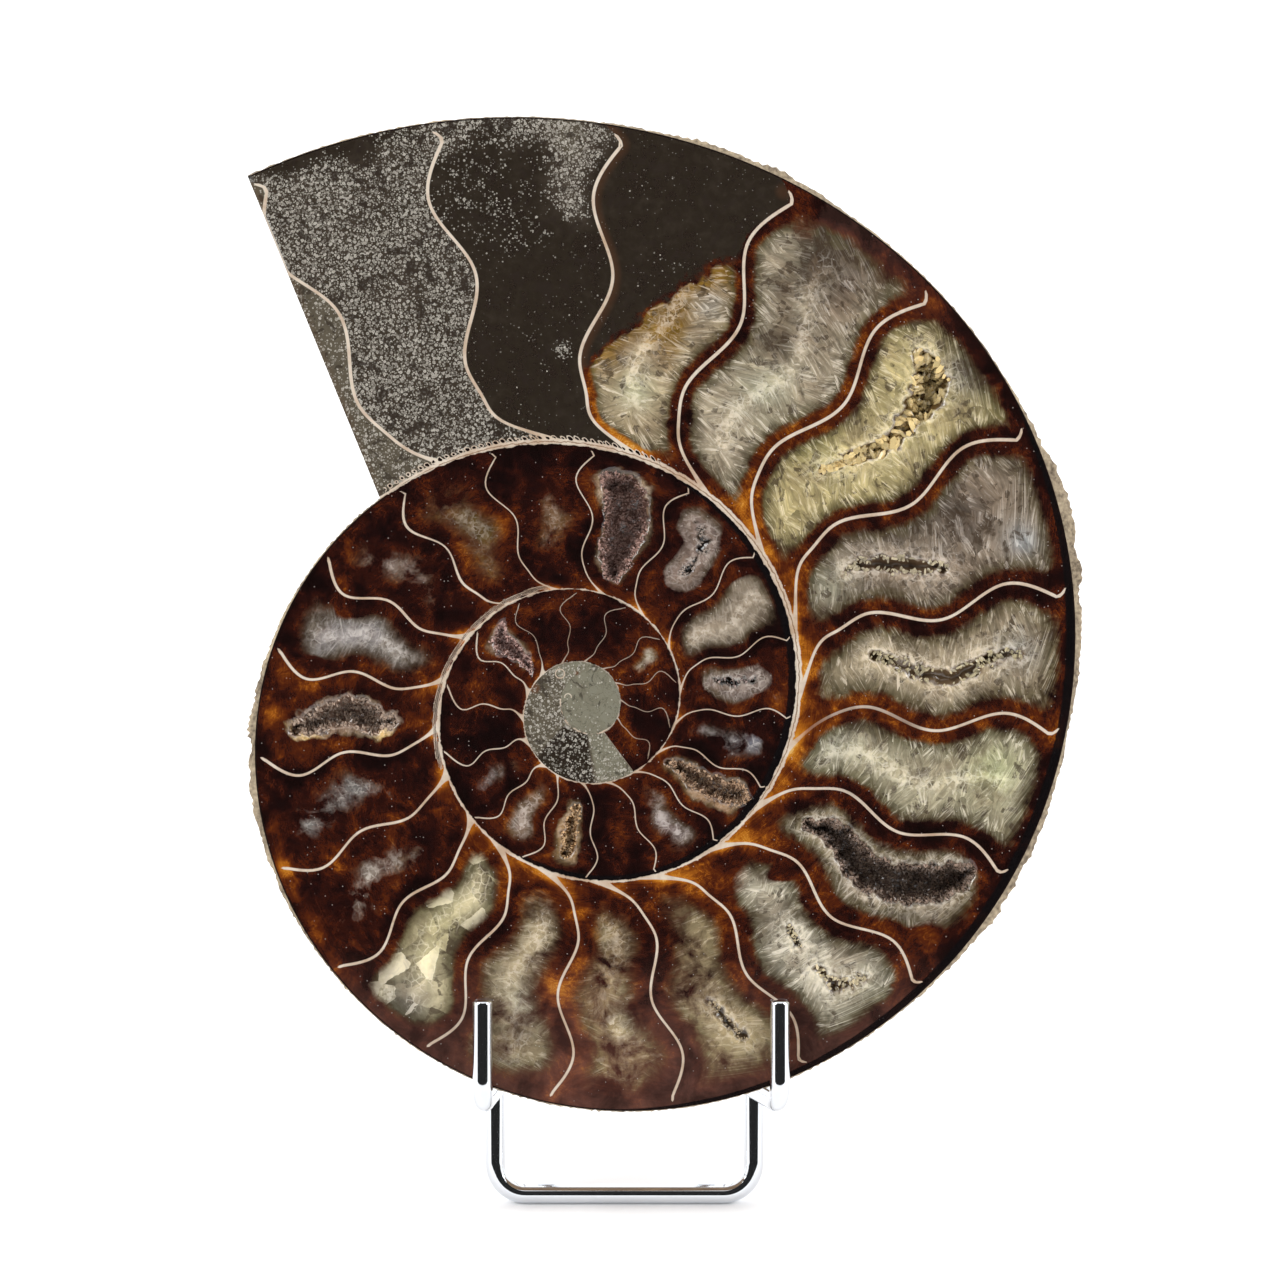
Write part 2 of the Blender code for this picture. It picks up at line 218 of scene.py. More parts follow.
def ripple(x: Array, y: Array, seed: float) -> Array:
    """Irregular smooth waves.

    Args:
        x: First coordinate, in wavelengths times about six.
        y: Second coordinate.
        seed: Picks another pattern.

    Returns:
        Values between about -1 and 1.
    """
    total = np.zeros(np.broadcast(x, y).shape)
    for k in range(1, 6):
        bearing = seed * 1.7 + k * 2.399
        total += np.sin((x * math.cos(bearing) + y * math.sin(bearing)) * (0.6 + 0.37 * k) + seed * k * 1.3)
    return total / 3.2


def smooth_line(knots: Array, values: Array, at: Array) -> Array:
    """The natural cubic spline through a few points.

    Args:
        knots: Rising places.
        values: The line's value at each.
        at: The places to read.

    Returns:
        The line's values there.
    """
    gaps = np.diff(knots)
    rises = 3 * np.diff(values) / gaps**2
    matrix = np.diag(2 / np.append(gaps, np.inf) + 2 / np.insert(gaps, 0, np.inf))
    matrix += np.diag(1 / gaps, 1) + np.diag(1 / gaps, -1)
    slopes = np.linalg.solve(matrix, np.append(rises, 0) + np.insert(rises, 0, 0))
    i = np.clip(np.searchsorted(knots, at, side="right") - 1, 0, len(knots) - 2)
    span = knots[i + 1] - knots[i]
    t = (at - knots[i]) / span
    rise = 3 * t**2 - 2 * t**3
    return (
        (1 - rise) * values[i]
        + rise * values[i + 1]
        + span * (t**3 - 2 * t**2 + t) * slopes[i]
        + span * (t**3 - t**2) * slopes[i + 1]
    )


@dataclass(frozen=True)
class FaceFrame:
    """Where the polished face stands in the row frame.

    Attributes:
        lean: How far the face leans back.
        wire: Thickness of the stand's wire, in mm.
        frame_middle: Right of the front frame's middle, from the middle of the spiral.
        frame_bottom: Up of its lower bar.
        frame_depth: Its depth behind the face.
    """

    lean: float = math.radians(15.0)
    wire: float = 3.0
    frame_middle: float = 6.2
    frame_bottom: float = -76.2
    frame_depth: float = 18.6

    def origin(self) -> Array:
        """The middle of the spiral in the row frame, in mm, read from where the stand's front frame is."""
        low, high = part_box("stand_frame")
        flat = self.wire / 2 * math.cos(math.pi / 12)
        sine, cosine = math.sin(self.lean), math.cos(self.lean)
        return np.array(
            (
                (low.x + high.x) / 2 / MM - self.frame_middle,
                low.y / MM + flat - self.frame_depth * cosine - self.frame_bottom * sine,
                low.z / MM + flat + self.frame_depth * sine - self.frame_bottom * cosine,
            )
        )

    def world(self, right: Array, up: Array, depth: Array) -> Array:
        """Carries points of the face to the row frame.

        Args:
            right: Distance to the right, in mm.
            up: Distance up the face.
            depth: Distance behind the face.

        Returns:
            One row of x, y and z for each point, in metres.
        """
        places = np.stack(np.broadcast_arrays(right, up, depth), axis=-1)
        return (self.direction(places) + self.origin()) * MM

    def direction(self, vectors: Array) -> Array:
        """Turns directions given as right, up and depth to the row frame."""
        sine, cosine = math.sin(self.lean), math.cos(self.lean)
        right, up, depth = np.moveaxis(vectors, -1, 0)
        return np.stack((right, depth * cosine + up * sine, up * cosine - depth * sine), axis=-1)


@dataclass(frozen=True)
class Spiral:
    """The shell's outer wall.

    Attributes:
        radii: Its radius in mm, one value each eighth of a turn inwards.
        step: Degrees between two of them.
        bearing: Where the aperture is round the middle, in degrees from the right.
        tip_turn: Turn at which the sawn cut leaves the outer wall.
        junction_turn: Turn at which it meets the whorl within.
        junction_radius: Radius there.
        inner_turn: The turn from which the laps of the flank are counted.
    """

    radii: tuple[float, ...] = (
        95.4, 86.7, 80.3, 72.3, 65.4, 60.0, 53.9, 48.0,
        42.7, 38.4, 34.8, 31.6, 28.9, 26.0, 23.5, 21.1,
        18.8, 17.0, 15.6, 14.3, 12.8, 11.6, 10.1, 8.4,
        7.1, 6.3, 5.9, 5.6, 5.2, 4.4, 3.6,
    )  # fmt: skip
    step: float = 45.0
    bearing: float = 130.0
    tip_turn: float = 7.6
    junction_turn: float = -4.3
    junction_radius: float = 43.8
    inner_turn: float = -5.1

    def wall(self, turn: Array) -> Array:
        """Radius of the outer wall after this many degrees inwards from the aperture."""
        knots = np.arange(len(self.radii)) * self.step
        logs = np.log(np.array(self.radii))
        slope = (logs[1] - logs[0]) / self.step
        inside = np.exp(smooth_line(knots, logs, np.clip(turn, 0, knots[-1])))
        return inside * np.exp(np.minimum(turn, 0) * slope)

    def on_face(self, turn: Array, radius: Array) -> tuple[Array, Array]:
        """Right and up of a point at this turn and radius."""
        bearing = np.radians(self.bearing - turn)
        return radius * np.cos(bearing), radius * np.sin(bearing)

    def radius(self, turn: Array, share: Array) -> Array:
        """Radius at this share of the way from the inner wall to the outer one."""
        inner = np.log(self.wall(turn + 360))
        return np.exp(inner + share * (np.log(self.wall(turn)) - inner))

    def sawn_turn(self, share: Array) -> Array:
        """The turn at which the straight sawn cut crosses this share of the outer whorl."""
        tip = self.on_face(self.tip_turn, self.wall(np.array(self.tip_turn)))
        junction = self.on_face(self.junction_turn, self.junction_radius)
        along = np.linspace(-0.1, 1.1, 200)
        right = junction[0] + along * (tip[0] - junction[0])
        up = junction[1] + along * (tip[1] - junction[1])
        turn = self.bearing - np.degrees(np.arctan2(up, right))
        radius = np.hypot(right, up)
        inner = np.log(self.wall(turn + 360))
        shares = (np.log(radius) - inner) / (np.log(self.wall(turn)) - inner)
        return np.interp(share, shares, turn)


@dataclass(frozen=True)
class Septa:
    """The walls between the chambers.

    Attributes:
        shares: Shares of the whorl's width.
        turns: Each septum's turns in degrees at these shares.
        flick: How sharply a septum's outer end bends, on the first half of each turn.
        core_turn: The turn at which the core's mud begins.
    """

    shares: tuple[float, ...] = (0.0, 0.09, 0.22, 0.35, 0.64, 0.83, 0.96)
    turns: tuple[tuple[float, ...], ...] = (
        (10.0, 6.3, 4.0, 3.2, 8.0, 5.2, 8.5),
        (36.0, 25.7, 22.0, 21.0, 26.0, 23.0, 26.1),
        (53.5, 43.8, 40.7, 39.5, 44.0, 41.2, 44.0),
        (71.5, 63.0, 58.8, 57.9, 62.5, 59.7, 62.7),
        (91.0, 82.0, 77.5, 76.7, 81.0, 78.0, 80.5),
        (113.0, 100.8, 95.9, 94.5, 98.7, 96.0, 98.7),
        (130.0, 118.2, 113.9, 112.3, 116.7, 114.1, 117.3),
        (143.0, 136.8, 132.0, 130.5, 134.2, 131.2, 133.7),
        (161.3, 154.0, 150.1, 148.3, 152.0, 149.2, 152.0),
        (177.3, 171.2, 167.9, 166.3, 170.5, 167.3, 170.0),
        (198.0, 190.0, 186.6, 185.0, 188.7, 186.1, 188.7),
        (214.5, 207.6, 203.9, 202.5, 206.8, 204.0, 207.0),
        (232.0, 225.3, 222.2, 221.0, 224.8, 221.5, 224.3),
        (251.0, 244.6, 241.7, 240.3, 244.1, 241.0, 244.0),
        (264.4, 262.1, 260.2, 258.7, 262.2, 259.3, 262.5),
        (282.5, 280.5, 278.4, 276.9, 280.2, 277.8, 281.0),
        (301.2, 298.7, 296.4, 295.1, 298.5, 295.9, 300.0),
        (320.9, 318.0, 315.8, 314.8, 318.0, 315.3, 319.7),
        (340.9, 338.4, 336.3, 334.9, 337.9, 334.7, 339.3),
        (364.0, 358.7, 356.5, 355.3, 358.7, 355.3, 360.0),
        (386.5, 380.7, 377.9, 376.7, 379.9, 376.0, 380.7),
        (410.0, 404.4, 400.7, 399.7, 402.7, 398.3, 402.7),
        (434.0, 427.3, 424.2, 423.3, 426.5, 422.7, 426.7),
        (456.5, 451.6, 448.2, 447.2, 449.5, 445.9, 449.3),
        (482.0, 474.7, 471.0, 469.8, 472.7, 469.7, 472.7),
        (502.0, 496.5, 493.3, 492.3, 494.2, 491.3, 494.0),
        (522.0, 516.0, 513.2, 512.0, 514.7, 512.0, 515.0),
        (542.0, 537.6, 534.3, 532.8, 535.2, 532.7, 536.0),
        (562.0, 557.3, 554.2, 553.0, 556.0, 553.5, 556.7),
        (580.0, 577.0, 574.7, 573.9, 576.5, 574.5, 578.3),
        (599.5, 598.2, 595.8, 594.8, 597.9, 595.5, 600.7),
        (611.0, 615.6, 617.1, 616.0, 619.3, 617.0, 622.7),
        (633.0, 639.5, 641.9, 640.9, 644.2, 642.1, 650.0),
        (655.0, 660.5, 665.8, 666.5, 670.0, 668.0, 676.7),
        (678.5, 685.5, 691.0, 692.3, 696.7, 694.0, 703.3),
        (704.0, 710.5, 716.5, 719.5, 724.0, 720.8, 728.0),
        (732.5, 738.0, 745.0, 746.0, 750.5, 747.0, 757.0),
        (761.5, 766.5, 772.5, 774.0, 777.8, 774.5, 784.0),
        (789.0, 793.5, 799.8, 801.0, 804.5, 801.5, 810.0),
        (816.5, 820.5, 826.5, 828.2, 830.8, 827.2, 837.0),
        (843.0, 846.5, 851.5, 853.2, 856.0, 853.5, 865.0),
        (870.5, 873.5, 877.8, 879.5, 882.2, 880.0, 890.0),
    )
    flick: float = 240.0
    core_turn: float = 903.0

    def turn(self, number: int, share: Array, spiral: Spiral) -> Array:
        """The turn of one septum at a share of the whorl's width.

        Args:
            number: 0 is the sawn cut, then the septa inwards, and the last is the edge of the core's mud.
            share: Share of the way from the inner wall to the outer one.
            spiral: The shell's spiral.

        Returns:
            The turn in degrees.
        """
        if number == 0:
            return spiral.sawn_turn(share)
        if number > len(self.turns):
            return np.full(np.shape(share), self.core_turn)
        knots = np.array(self.shares)
        values = np.array(self.turns[number - 1])
        inside = smooth_line(knots, values, np.clip(share, 0, knots[-1]))
        past = np.maximum(share - knots[-1], 0)
        hooked = smooth_step(215, 185, np.mod(inside, 360))
        swing = (values[-1] - values[-2]) / (knots[-1] - knots[-2])
        bent = inside + (1 - hooked) * swing * past - hooked * self.flick * past**1.5
        return np.maximum(bent, spiral.sawn_turn(share)) if number == 1 else bent


class Fill(Enum):
    """What fills a chamber."""

    MUD = "mud"
    CRYSTAL = "crystal"
    AMBER = "amber"


@dataclass(frozen=True)
class Chamber:
    """One chamber's filling.

    Attributes:
        fill: What it is filled with.
        rim: Width of the brown rim along its walls, in mm.
        crystals: How solidly pale crystals fill its middle, from 0 to 1.
        white: How much of the crystals is milky white.
        ember: How light the brown is, from 0, near black, to 1, orange.
        tint: The crystals' colour.
        reach: How far from the chamber's hollow or middle the crystals reach, in mm.
    """

    fill: Fill
    rim: float
    crystals: float
    white: float
    ember: float
    tint: str
    reach: float = 99.0


MUD, CRYSTAL, AMBER = Fill.MUD, Fill.CRYSTAL, Fill.AMBER
CHAMBERS: tuple[Chamber, ...] = (
    Chamber(MUD, 2.0, 0.0, 0.0, 0.1, "8C8A72"),
    Chamber(MUD, 2.0, 0.0, 0.0, 0.1, "8C8A72"),
    Chamber(MUD, 2.0, 0.0, 0.0, 0.1, "6A6750"),
    Chamber(CRYSTAL, 1.4, 1.0, 0.6, 0.3, "C0AC88"),
    Chamber(CRYSTAL, 1.7, 1.0, 0.6, 0.15, "BEAF94"),
    Chamber(CRYSTAL, 1.7, 1.0, 0.55, 0.15, "D4C28A"),
    Chamber(CRYSTAL, 2.0, 1.0, 0.5, 0.15, "B2A08A"),
    Chamber(CRYSTAL, 2.2, 1.0, 0.6, 0.15, "C2B090"),
    Chamber(CRYSTAL, 2.0, 1.0, 0.55, 0.15, "C2B898"),
    Chamber(CRYSTAL, 2.6, 0.9, 0.55, 0.15, "AC9C84", 2.8),
    Chamber(CRYSTAL, 2.2, 1.0, 0.6, 0.15, "CCC2AA", 9.0),
    Chamber(CRYSTAL, 2.2, 0.42, 0.4, 0.2, "BCA880"),
    Chamber(CRYSTAL, 2.2, 0.36, 0.35, 0.25, "B49C72"),
    Chamber(CRYSTAL, 2.2, 0.4, 0.4, 0.2, "B4A280"),
    Chamber(CRYSTAL, 1.9, 1.0, 0.4, 0.2, "EADBB0"),
    Chamber(AMBER, 2.4, 0.0, 0.3, 0.12, "8E8074"),
    Chamber(AMBER, 2.4, 0.0, 0.3, 0.06, "84807C"),
    Chamber(CRYSTAL, 1.6, 0.7, 0.1, 0.12, "7E6450", 0.3),
    Chamber(CRYSTAL, 2.2, 0.8, 0.45, 0.12, "A49C98", 3.4),
    Chamber(AMBER, 2.6, 0.3, 0.35, 0.1, "94867C", 2.2),
    Chamber(CRYSTAL, 2.4, 0.3, 0.1, 0.14, "86683C"),
    Chamber(AMBER, 2.4, 0.0, 0.1, 0.02, "86684A"),
    Chamber(CRYSTAL, 1.6, 0.8, 0.3, 0.12, "B09070", 0.5),
    Chamber(CRYSTAL, 1.4, 0.8, 0.5, 0.08, "8E7A70", 2.0),
    Chamber(CRYSTAL, 1.3, 0.95, 0.4, 0.08, "B4A48E", 3.4),
    Chamber(CRYSTAL, 1.4, 0.8, 0.6, 0.08, "8C7A70", 1.6),
    Chamber(AMBER, 1.6, 0.0, 0.4, 0.0, "8A8890"),
    Chamber(CRYSTAL, 1.2, 0.8, 0.1, 0.14, "A88460", 0.6),
    Chamber(CRYSTAL, 1.6, 0.2, 0.5, 0.1, "8C7C7A", 2.0),
    Chamber(AMBER, 3.0, 0.0, 0.0, 0.12, "8A6A40"),
    Chamber(CRYSTAL, 1.2, 0.8, 0.2, 0.14, "A8845A", 0.7),
    Chamber(CRYSTAL, 1.4, 0.3, 0.4, 0.2, "90786A", 2.2),
    Chamber(AMBER, 1.8, 0.0, 0.4, 0.04, "84848A"),
    Chamber(AMBER, 3.0, 0.0, 0.0, 0.02, "8A6A40"),
    Chamber(AMBER, 3.0, 0.0, 0.0, 0.2, "8A6A40"),
    Chamber(CRYSTAL, 1.2, 0.8, 0.2, 0.2, "A07A64", 0.5),
    Chamber(AMBER, 3.0, 0.0, 0.0, 0.2, "8A6A40"),
    Chamber(AMBER, 3.0, 0.0, 0.0, 0.19, "8A6A40"),
    Chamber(AMBER, 3.0, 0.0, 0.0, 0.17, "8A6A40"),
    Chamber(CRYSTAL, 1.2, 0.0, 0.5, 0.12, "A0927C"),
    Chamber(AMBER, 3.0, 0.0, 0.0, 0.17, "8A6A40"),
    Chamber(AMBER, 3.0, 0.0, 0.0, 0.17, "8A6A40"),
    Chamber(AMBER, 2.0, 0.0, 0.0, 0.17, "8A6A40"),
)


@dataclass(frozen=True)
class Hollow:
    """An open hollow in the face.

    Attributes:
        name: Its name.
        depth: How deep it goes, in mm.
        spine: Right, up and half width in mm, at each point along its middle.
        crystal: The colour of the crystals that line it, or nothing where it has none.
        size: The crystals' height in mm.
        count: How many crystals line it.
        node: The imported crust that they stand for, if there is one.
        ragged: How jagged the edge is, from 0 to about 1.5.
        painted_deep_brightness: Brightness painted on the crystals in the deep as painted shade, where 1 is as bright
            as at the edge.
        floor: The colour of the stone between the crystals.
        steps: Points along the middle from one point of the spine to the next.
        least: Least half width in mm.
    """

    name: str
    depth: float
    spine: tuple[tuple[float, float, float], ...]
    crystal: str = "A8A088"
    size: float = 0.7
    count: int = 500
    node: str = ""
    ragged: float = 1.0
    painted_deep_brightness: float = 0.7
    floor: str = "20160F"
    steps: int = 12
    least: float = 0.2

    def line(self) -> tuple[Array, Array, Array]:
        """Points close together along the middle: right, up and half width."""
        knots = np.arange(len(self.spine), dtype=float)
        at = np.linspace(0, knots[-1], self.steps * (len(self.spine) - 1) + 1)
        right, up, half = (smooth_line(knots, np.array(column), at) for column in zip(*self.spine))
        return right, up, np.maximum(half, self.least)

    def outside(self, right: Array, up: Array) -> Array:
        """Distance in mm from the hollow's edge, negative within it."""
        nearest = np.full(right.shape, 1e3)
        for u, v, half in zip(*self.line()):
            nearest = np.minimum(nearest, np.hypot(right - u, up - v) - half)
        seed = len(self.name) + self.depth
        ragged = 0.34 * ripple(right * 1.5, up * 1.5, seed) + 0.2 * ripple(right * 4.1, up * 4.1, seed + 1)
        return nearest + self.ragged * ragged * smooth_step(3, 0, np.abs(nearest))

    def depth_at(self, right: Array, up: Array) -> Array:
        """Depth of the hollow's wall or floor below a point of the face, in mm."""
        outside = self.outside(right, up)
        seed = self.depth * 3.1
        floor = self.depth * (1 + 0.12 * ripple(right * 1.1, up * 1.1, seed))
        wall = smooth_step(0.1, -1.5, outside)
        lumps = 0.22 * ripple(right * 3.1, up * 3.1, seed + 2) * smooth_step(0, -0.6, outside)
        return np.maximum(floor * wall + lumps, 0) * (outside < 0.1)


HOLLOWS: tuple[Hollow, ...] = (
    Hollow(
        "yellow",
        2.8,
        (
            (51.0, 52.3, 1.2), (52.0, 49.6, 2.4), (51.9, 46.8, 2.8), (49.4, 43.4, 1.9), (47.2, 40.6, 1.4),
            (44.2, 38.3, 1.4), (40.8, 37.0, 1.0), (36.0, 35.3, 0.6),
        ),
        "DCC48C", 1.4, 480, "crystals_yellow_hollow", 1.5, 0.75, "5A4426",
    ),
    Hollow(
        "long_slit",
        1.5,
        ((39.8, 20.0, 0.7), (42.4, 21.0, 1.1), (46.0, 21.0, 1.4), (50.5, 20.8, 1.4), (54.4, 20.6, 0.9)),
        "BDB093", 0.7, 130, "", 1.6, 0.5, "6E5844",
    ),
    Hollow(
        "ridged_slit",
        1.5,
        (
            (43.6, 7.2, 0.8), (48.0, 5.9, 1.0), (54.2, 4.0, 1.4), (58.4, 5.6, 1.2), (62.0, 7.2, 1.1),
            (65.6, 7.4, 0.7),
        ),
        "BDB08E", 0.7, 150, "", 1.6, 0.5, "6A5640",
    ),
    Hollow(
        "dark",
        4.2,
        (
            (33.8, -18.2, 0.9), (37.6, -19.2, 1.9), (40.4, -22.6, 2.5), (43.6, -25.6, 2.9), (48.2, -26.9, 3.1),
            (53.0, -26.8, 2.9), (56.0, -26.0, 2.3), (58.0, -25.0, 1.2),
        ),
        "907A6A", 0.42, 4200, "crystals_dark_hollow", 1.4, 0.75, "4A3A32",
    ),
    Hollow(
        "left",
        2.8,
        (
            (-43.0, -3.6, 1.1), (-40.0, -2.6, 1.8), (-36.6, -1.4, 2.3), (-33.4, -1.5, 2.6),
            (-30.8, -2.9, 1.7), (-28.4, -2.2, 0.7),
        ),
        "B09A88", 0.5, 1100, "crystals_left_hollow", 1.5, 0.95, "7A6254",
    ),
    Hollow(
        "mauve",
        3.0,
        (
            (3.4, 34.0, 0.8), (6.0, 31.8, 2.9), (6.6, 28.4, 3.5), (5.8, 24.6, 3.1), (4.8, 21.6, 2.3),
            (4.9, 18.9, 1.1),
        ),
        "A8867A", 0.4, 2200, "crystals_mauve_hollow", 1.4, 0.85, "5E463E",
    ),
    Hollow(
        "tan", 2.2, ((13.4, -9.1, 0.7), (16.6, -10.8, 1.7), (20.2, -12.8, 2.0), (23.0, -13.3, 1.8), (24.6, -13.5, 0.8)),
        "B8987A", 0.4, 900, "crystals_tan_hollow", 1.5, 0.85, "6A5140",
    ),
    Hollow(
        "narrow", 1.8, ((-1.0, -15.4, 0.6), (-1.6, -18.0, 1.1), (-2.2, -20.6, 1.2), (-2.7, -22.8, 0.7)),
        "D0AC80", 0.35, 380, "crystals_narrow_hollow", 1.5, 0.9, "7A5A3A",
    ),
    Hollow(
        "inner", 1.8, ((-12.0, 11.6, 0.7), (-12.2, 9.6, 1.7), (-10.2, 7.9, 1.4), (-7.7, 5.1, 0.6)),
        "C4A298", 0.35, 560, "crystals_inner_hollow", 1.5, 0.9, "6E5048",
    ),
    Hollow(
        "dark_slit", 1.4, ((17.0, 27.3, 0.4), (18.3, 24.5, 0.7), (16.8, 21.4, 0.6), (14.8, 19.6, 0.5)),
        "A8988C", 0.4, 100, "", 1.5, 0.3,
    ),
    Hollow("red_slit", 1.2, ((20.0, 3.8, 0.4), (23.0, 3.2, 0.6), (26.0, 3.9, 0.35)), "A08C84", 0.35, 50, "", 1.5, 0.3),
    Hollow(
        "lower_slit", 1.4, ((35.2, -39.4, 0.5), (37.4, -41.6, 1.0), (39.8, -42.0, 0.9), (42.2, -40.9, 0.5)),
        "D8C8A4", 0.6, 90, "", 1.5, 0.4, "4A3418",
    ),
    Hollow(
        "lower_hole", 1.2, ((30.8, -33.4, 0.5), (31.6, -34.6, 0.65), (32.6, -36.2, 0.45)),
        "D0C09C", 0.5, 36, "", 1.5, 0.3, "3A2812",
    ),
    Hollow(
        "foot_hole", 1.2, ((19.2, -44.6, 0.4), (20.6, -46.2, 0.6), (22.4, -48.4, 0.7), (24.4, -50.2, 0.5)),
        "B8A484", 0.45, 70, "", 1.5, 0.4, "4A3A28",
    ),
)


@dataclass(frozen=True)
class Flank:
    """The back of the fossil: ribbed flanks that step down to the navel, and the rough ledge round the rim.

    Attributes:
        spiral: The outer wall of the shell.
        half_width: Depth of a whorl behind the face, as a share of its outer radius.
        seam: Radius of its seam, as a share of the outer one.
        shoulder: Share of its width over which it rises from the seam.
        core_depth: Depth of the navel's floor, in mm.
        core_radius: Its radius.
        ribs: Ribs in one turn.
        rib_height: Their height on the outer whorl, in mm.
        rib_sweep: How far they bend, in degrees.
        rim_depth: Least depth at the rim, in mm.
        plain: Width of the ledge round the rim where it is narrow.
        peaks: Turn, width in degrees and height in mm of each place where it is wide.
    """

    spiral: Spiral
    half_width: float = 0.18
    seam: float = 0.27
    shoulder: float = 0.17
    core_depth: float = 5.2
    core_radius: float = 15.0
    ribs: int = 28
    rib_height: float = 0.55
    rib_sweep: float = 14.0
    rim_depth: float = 1.2
    plain: float = 0.15
    peaks: tuple[tuple[float, float, float], ...] = (
        (58.0, 10.0, 1.0), (108.0, 9.0, 2.1), (122.0, 9.0, 0.9), (152.0, 14.0, 1.2), (300.0, 22.0, 1.2)
    )  # fmt: skip

    def ledge(self, turn: Array) -> Array:
        """How far the ragged shell stands out past the polished edge, in mm."""
        wide = sum(height * bell(turn, at, width) for at, width, height in self.peaks)
        ragged = 0.72 + 0.3 * ripple(turn * 0.9, turn * 0.23, 3.1) + 0.16 * ripple(turn * 3.7, turn * 1.3, 5.2)
        return self.plain + wide * np.maximum(ragged, 0.1) + 0.12 * ripple(turn * 5.1, turn, 8.0) ** 2

    def across(self, turn: Array, radius: Array) -> Array:
        """Share of the way from a whorl's seam to its outer wall."""
        outer = self.spiral.wall(turn)
        return np.clip((radius - self.seam * outer) / (outer - self.seam * outer), 0, 1)

    def rib(self, turn: Array, across: Array) -> Array:
        """1 on the crest of a rib, -1 between two ribs."""
        return np.cos(np.radians(self.ribs * (turn - self.rib_sweep * (across - 0.5) ** 2)))

    def whorl_depth(self, turn: Array, radius: Array) -> Array:
        """Depth of one whorl's flank below the face, in mm."""
        outer = self.spiral.wall(turn)
        across = self.across(turn, radius)
        shoulder = np.sin(np.minimum(across / self.shoulder, 1) * math.pi / 2) ** 0.8
        fall = (1 - across**2.3) ** 0.52
        rib = self.rib(turn, across)
        raised = self.rib_height * np.sign(rib) * np.abs(rib) ** 0.8 * np.sin(math.pi * across)
        return self.half_width * outer * shoulder * fall + raised * outer / self.spiral.radii[0]

    def laps(self, turn: Array, radius: Array) -> tuple[Array, Array]:
        """The turns of the four whorls at a point of the face, and the depth of each flank there."""
        base = np.mod(turn - self.spiral.inner_turn, 360) + self.spiral.inner_turn
        turns = np.stack([base + 360 * lap for lap in range(4)])
        return turns, self.whorl_depth(turns, radius)

    def depth(self, turn: Array, radius: Array) -> Array:
        """Depth of the back behind a point of the face, in mm: the outermost whorl that covers it."""
        _, depths = self.laps(turn, radius)
        core = self.core_depth * np.maximum(1 - (radius / self.core_radius) ** 2, 0)
        return np.maximum(np.maximum(core, depths.max(axis=0)), self.rim_depth + 0.2)

    def furrow(self, turn: Array, radius: Array) -> Array:
        """How far a point of the back lies in a furrow between ribs or in a whorl's seam, from 0 to 1, where the back's
        finishes paint shade.
        """
        turns, depths = self.laps(turn, radius)
        across = self.across(turns[0] + 360 * depths.argmax(axis=0), radius)
        ribbed = (0.5 - 0.5 * self.rib(turns[0], across)) * np.sqrt(np.sin(math.pi * across))
        ordered = np.sort(depths, axis=0)
        seam = np.exp(-(ordered[-1] - ordered[-2]) / 0.7)
        return np.clip(0.55 * ribbed + 0.8 * seam, 0, 1)


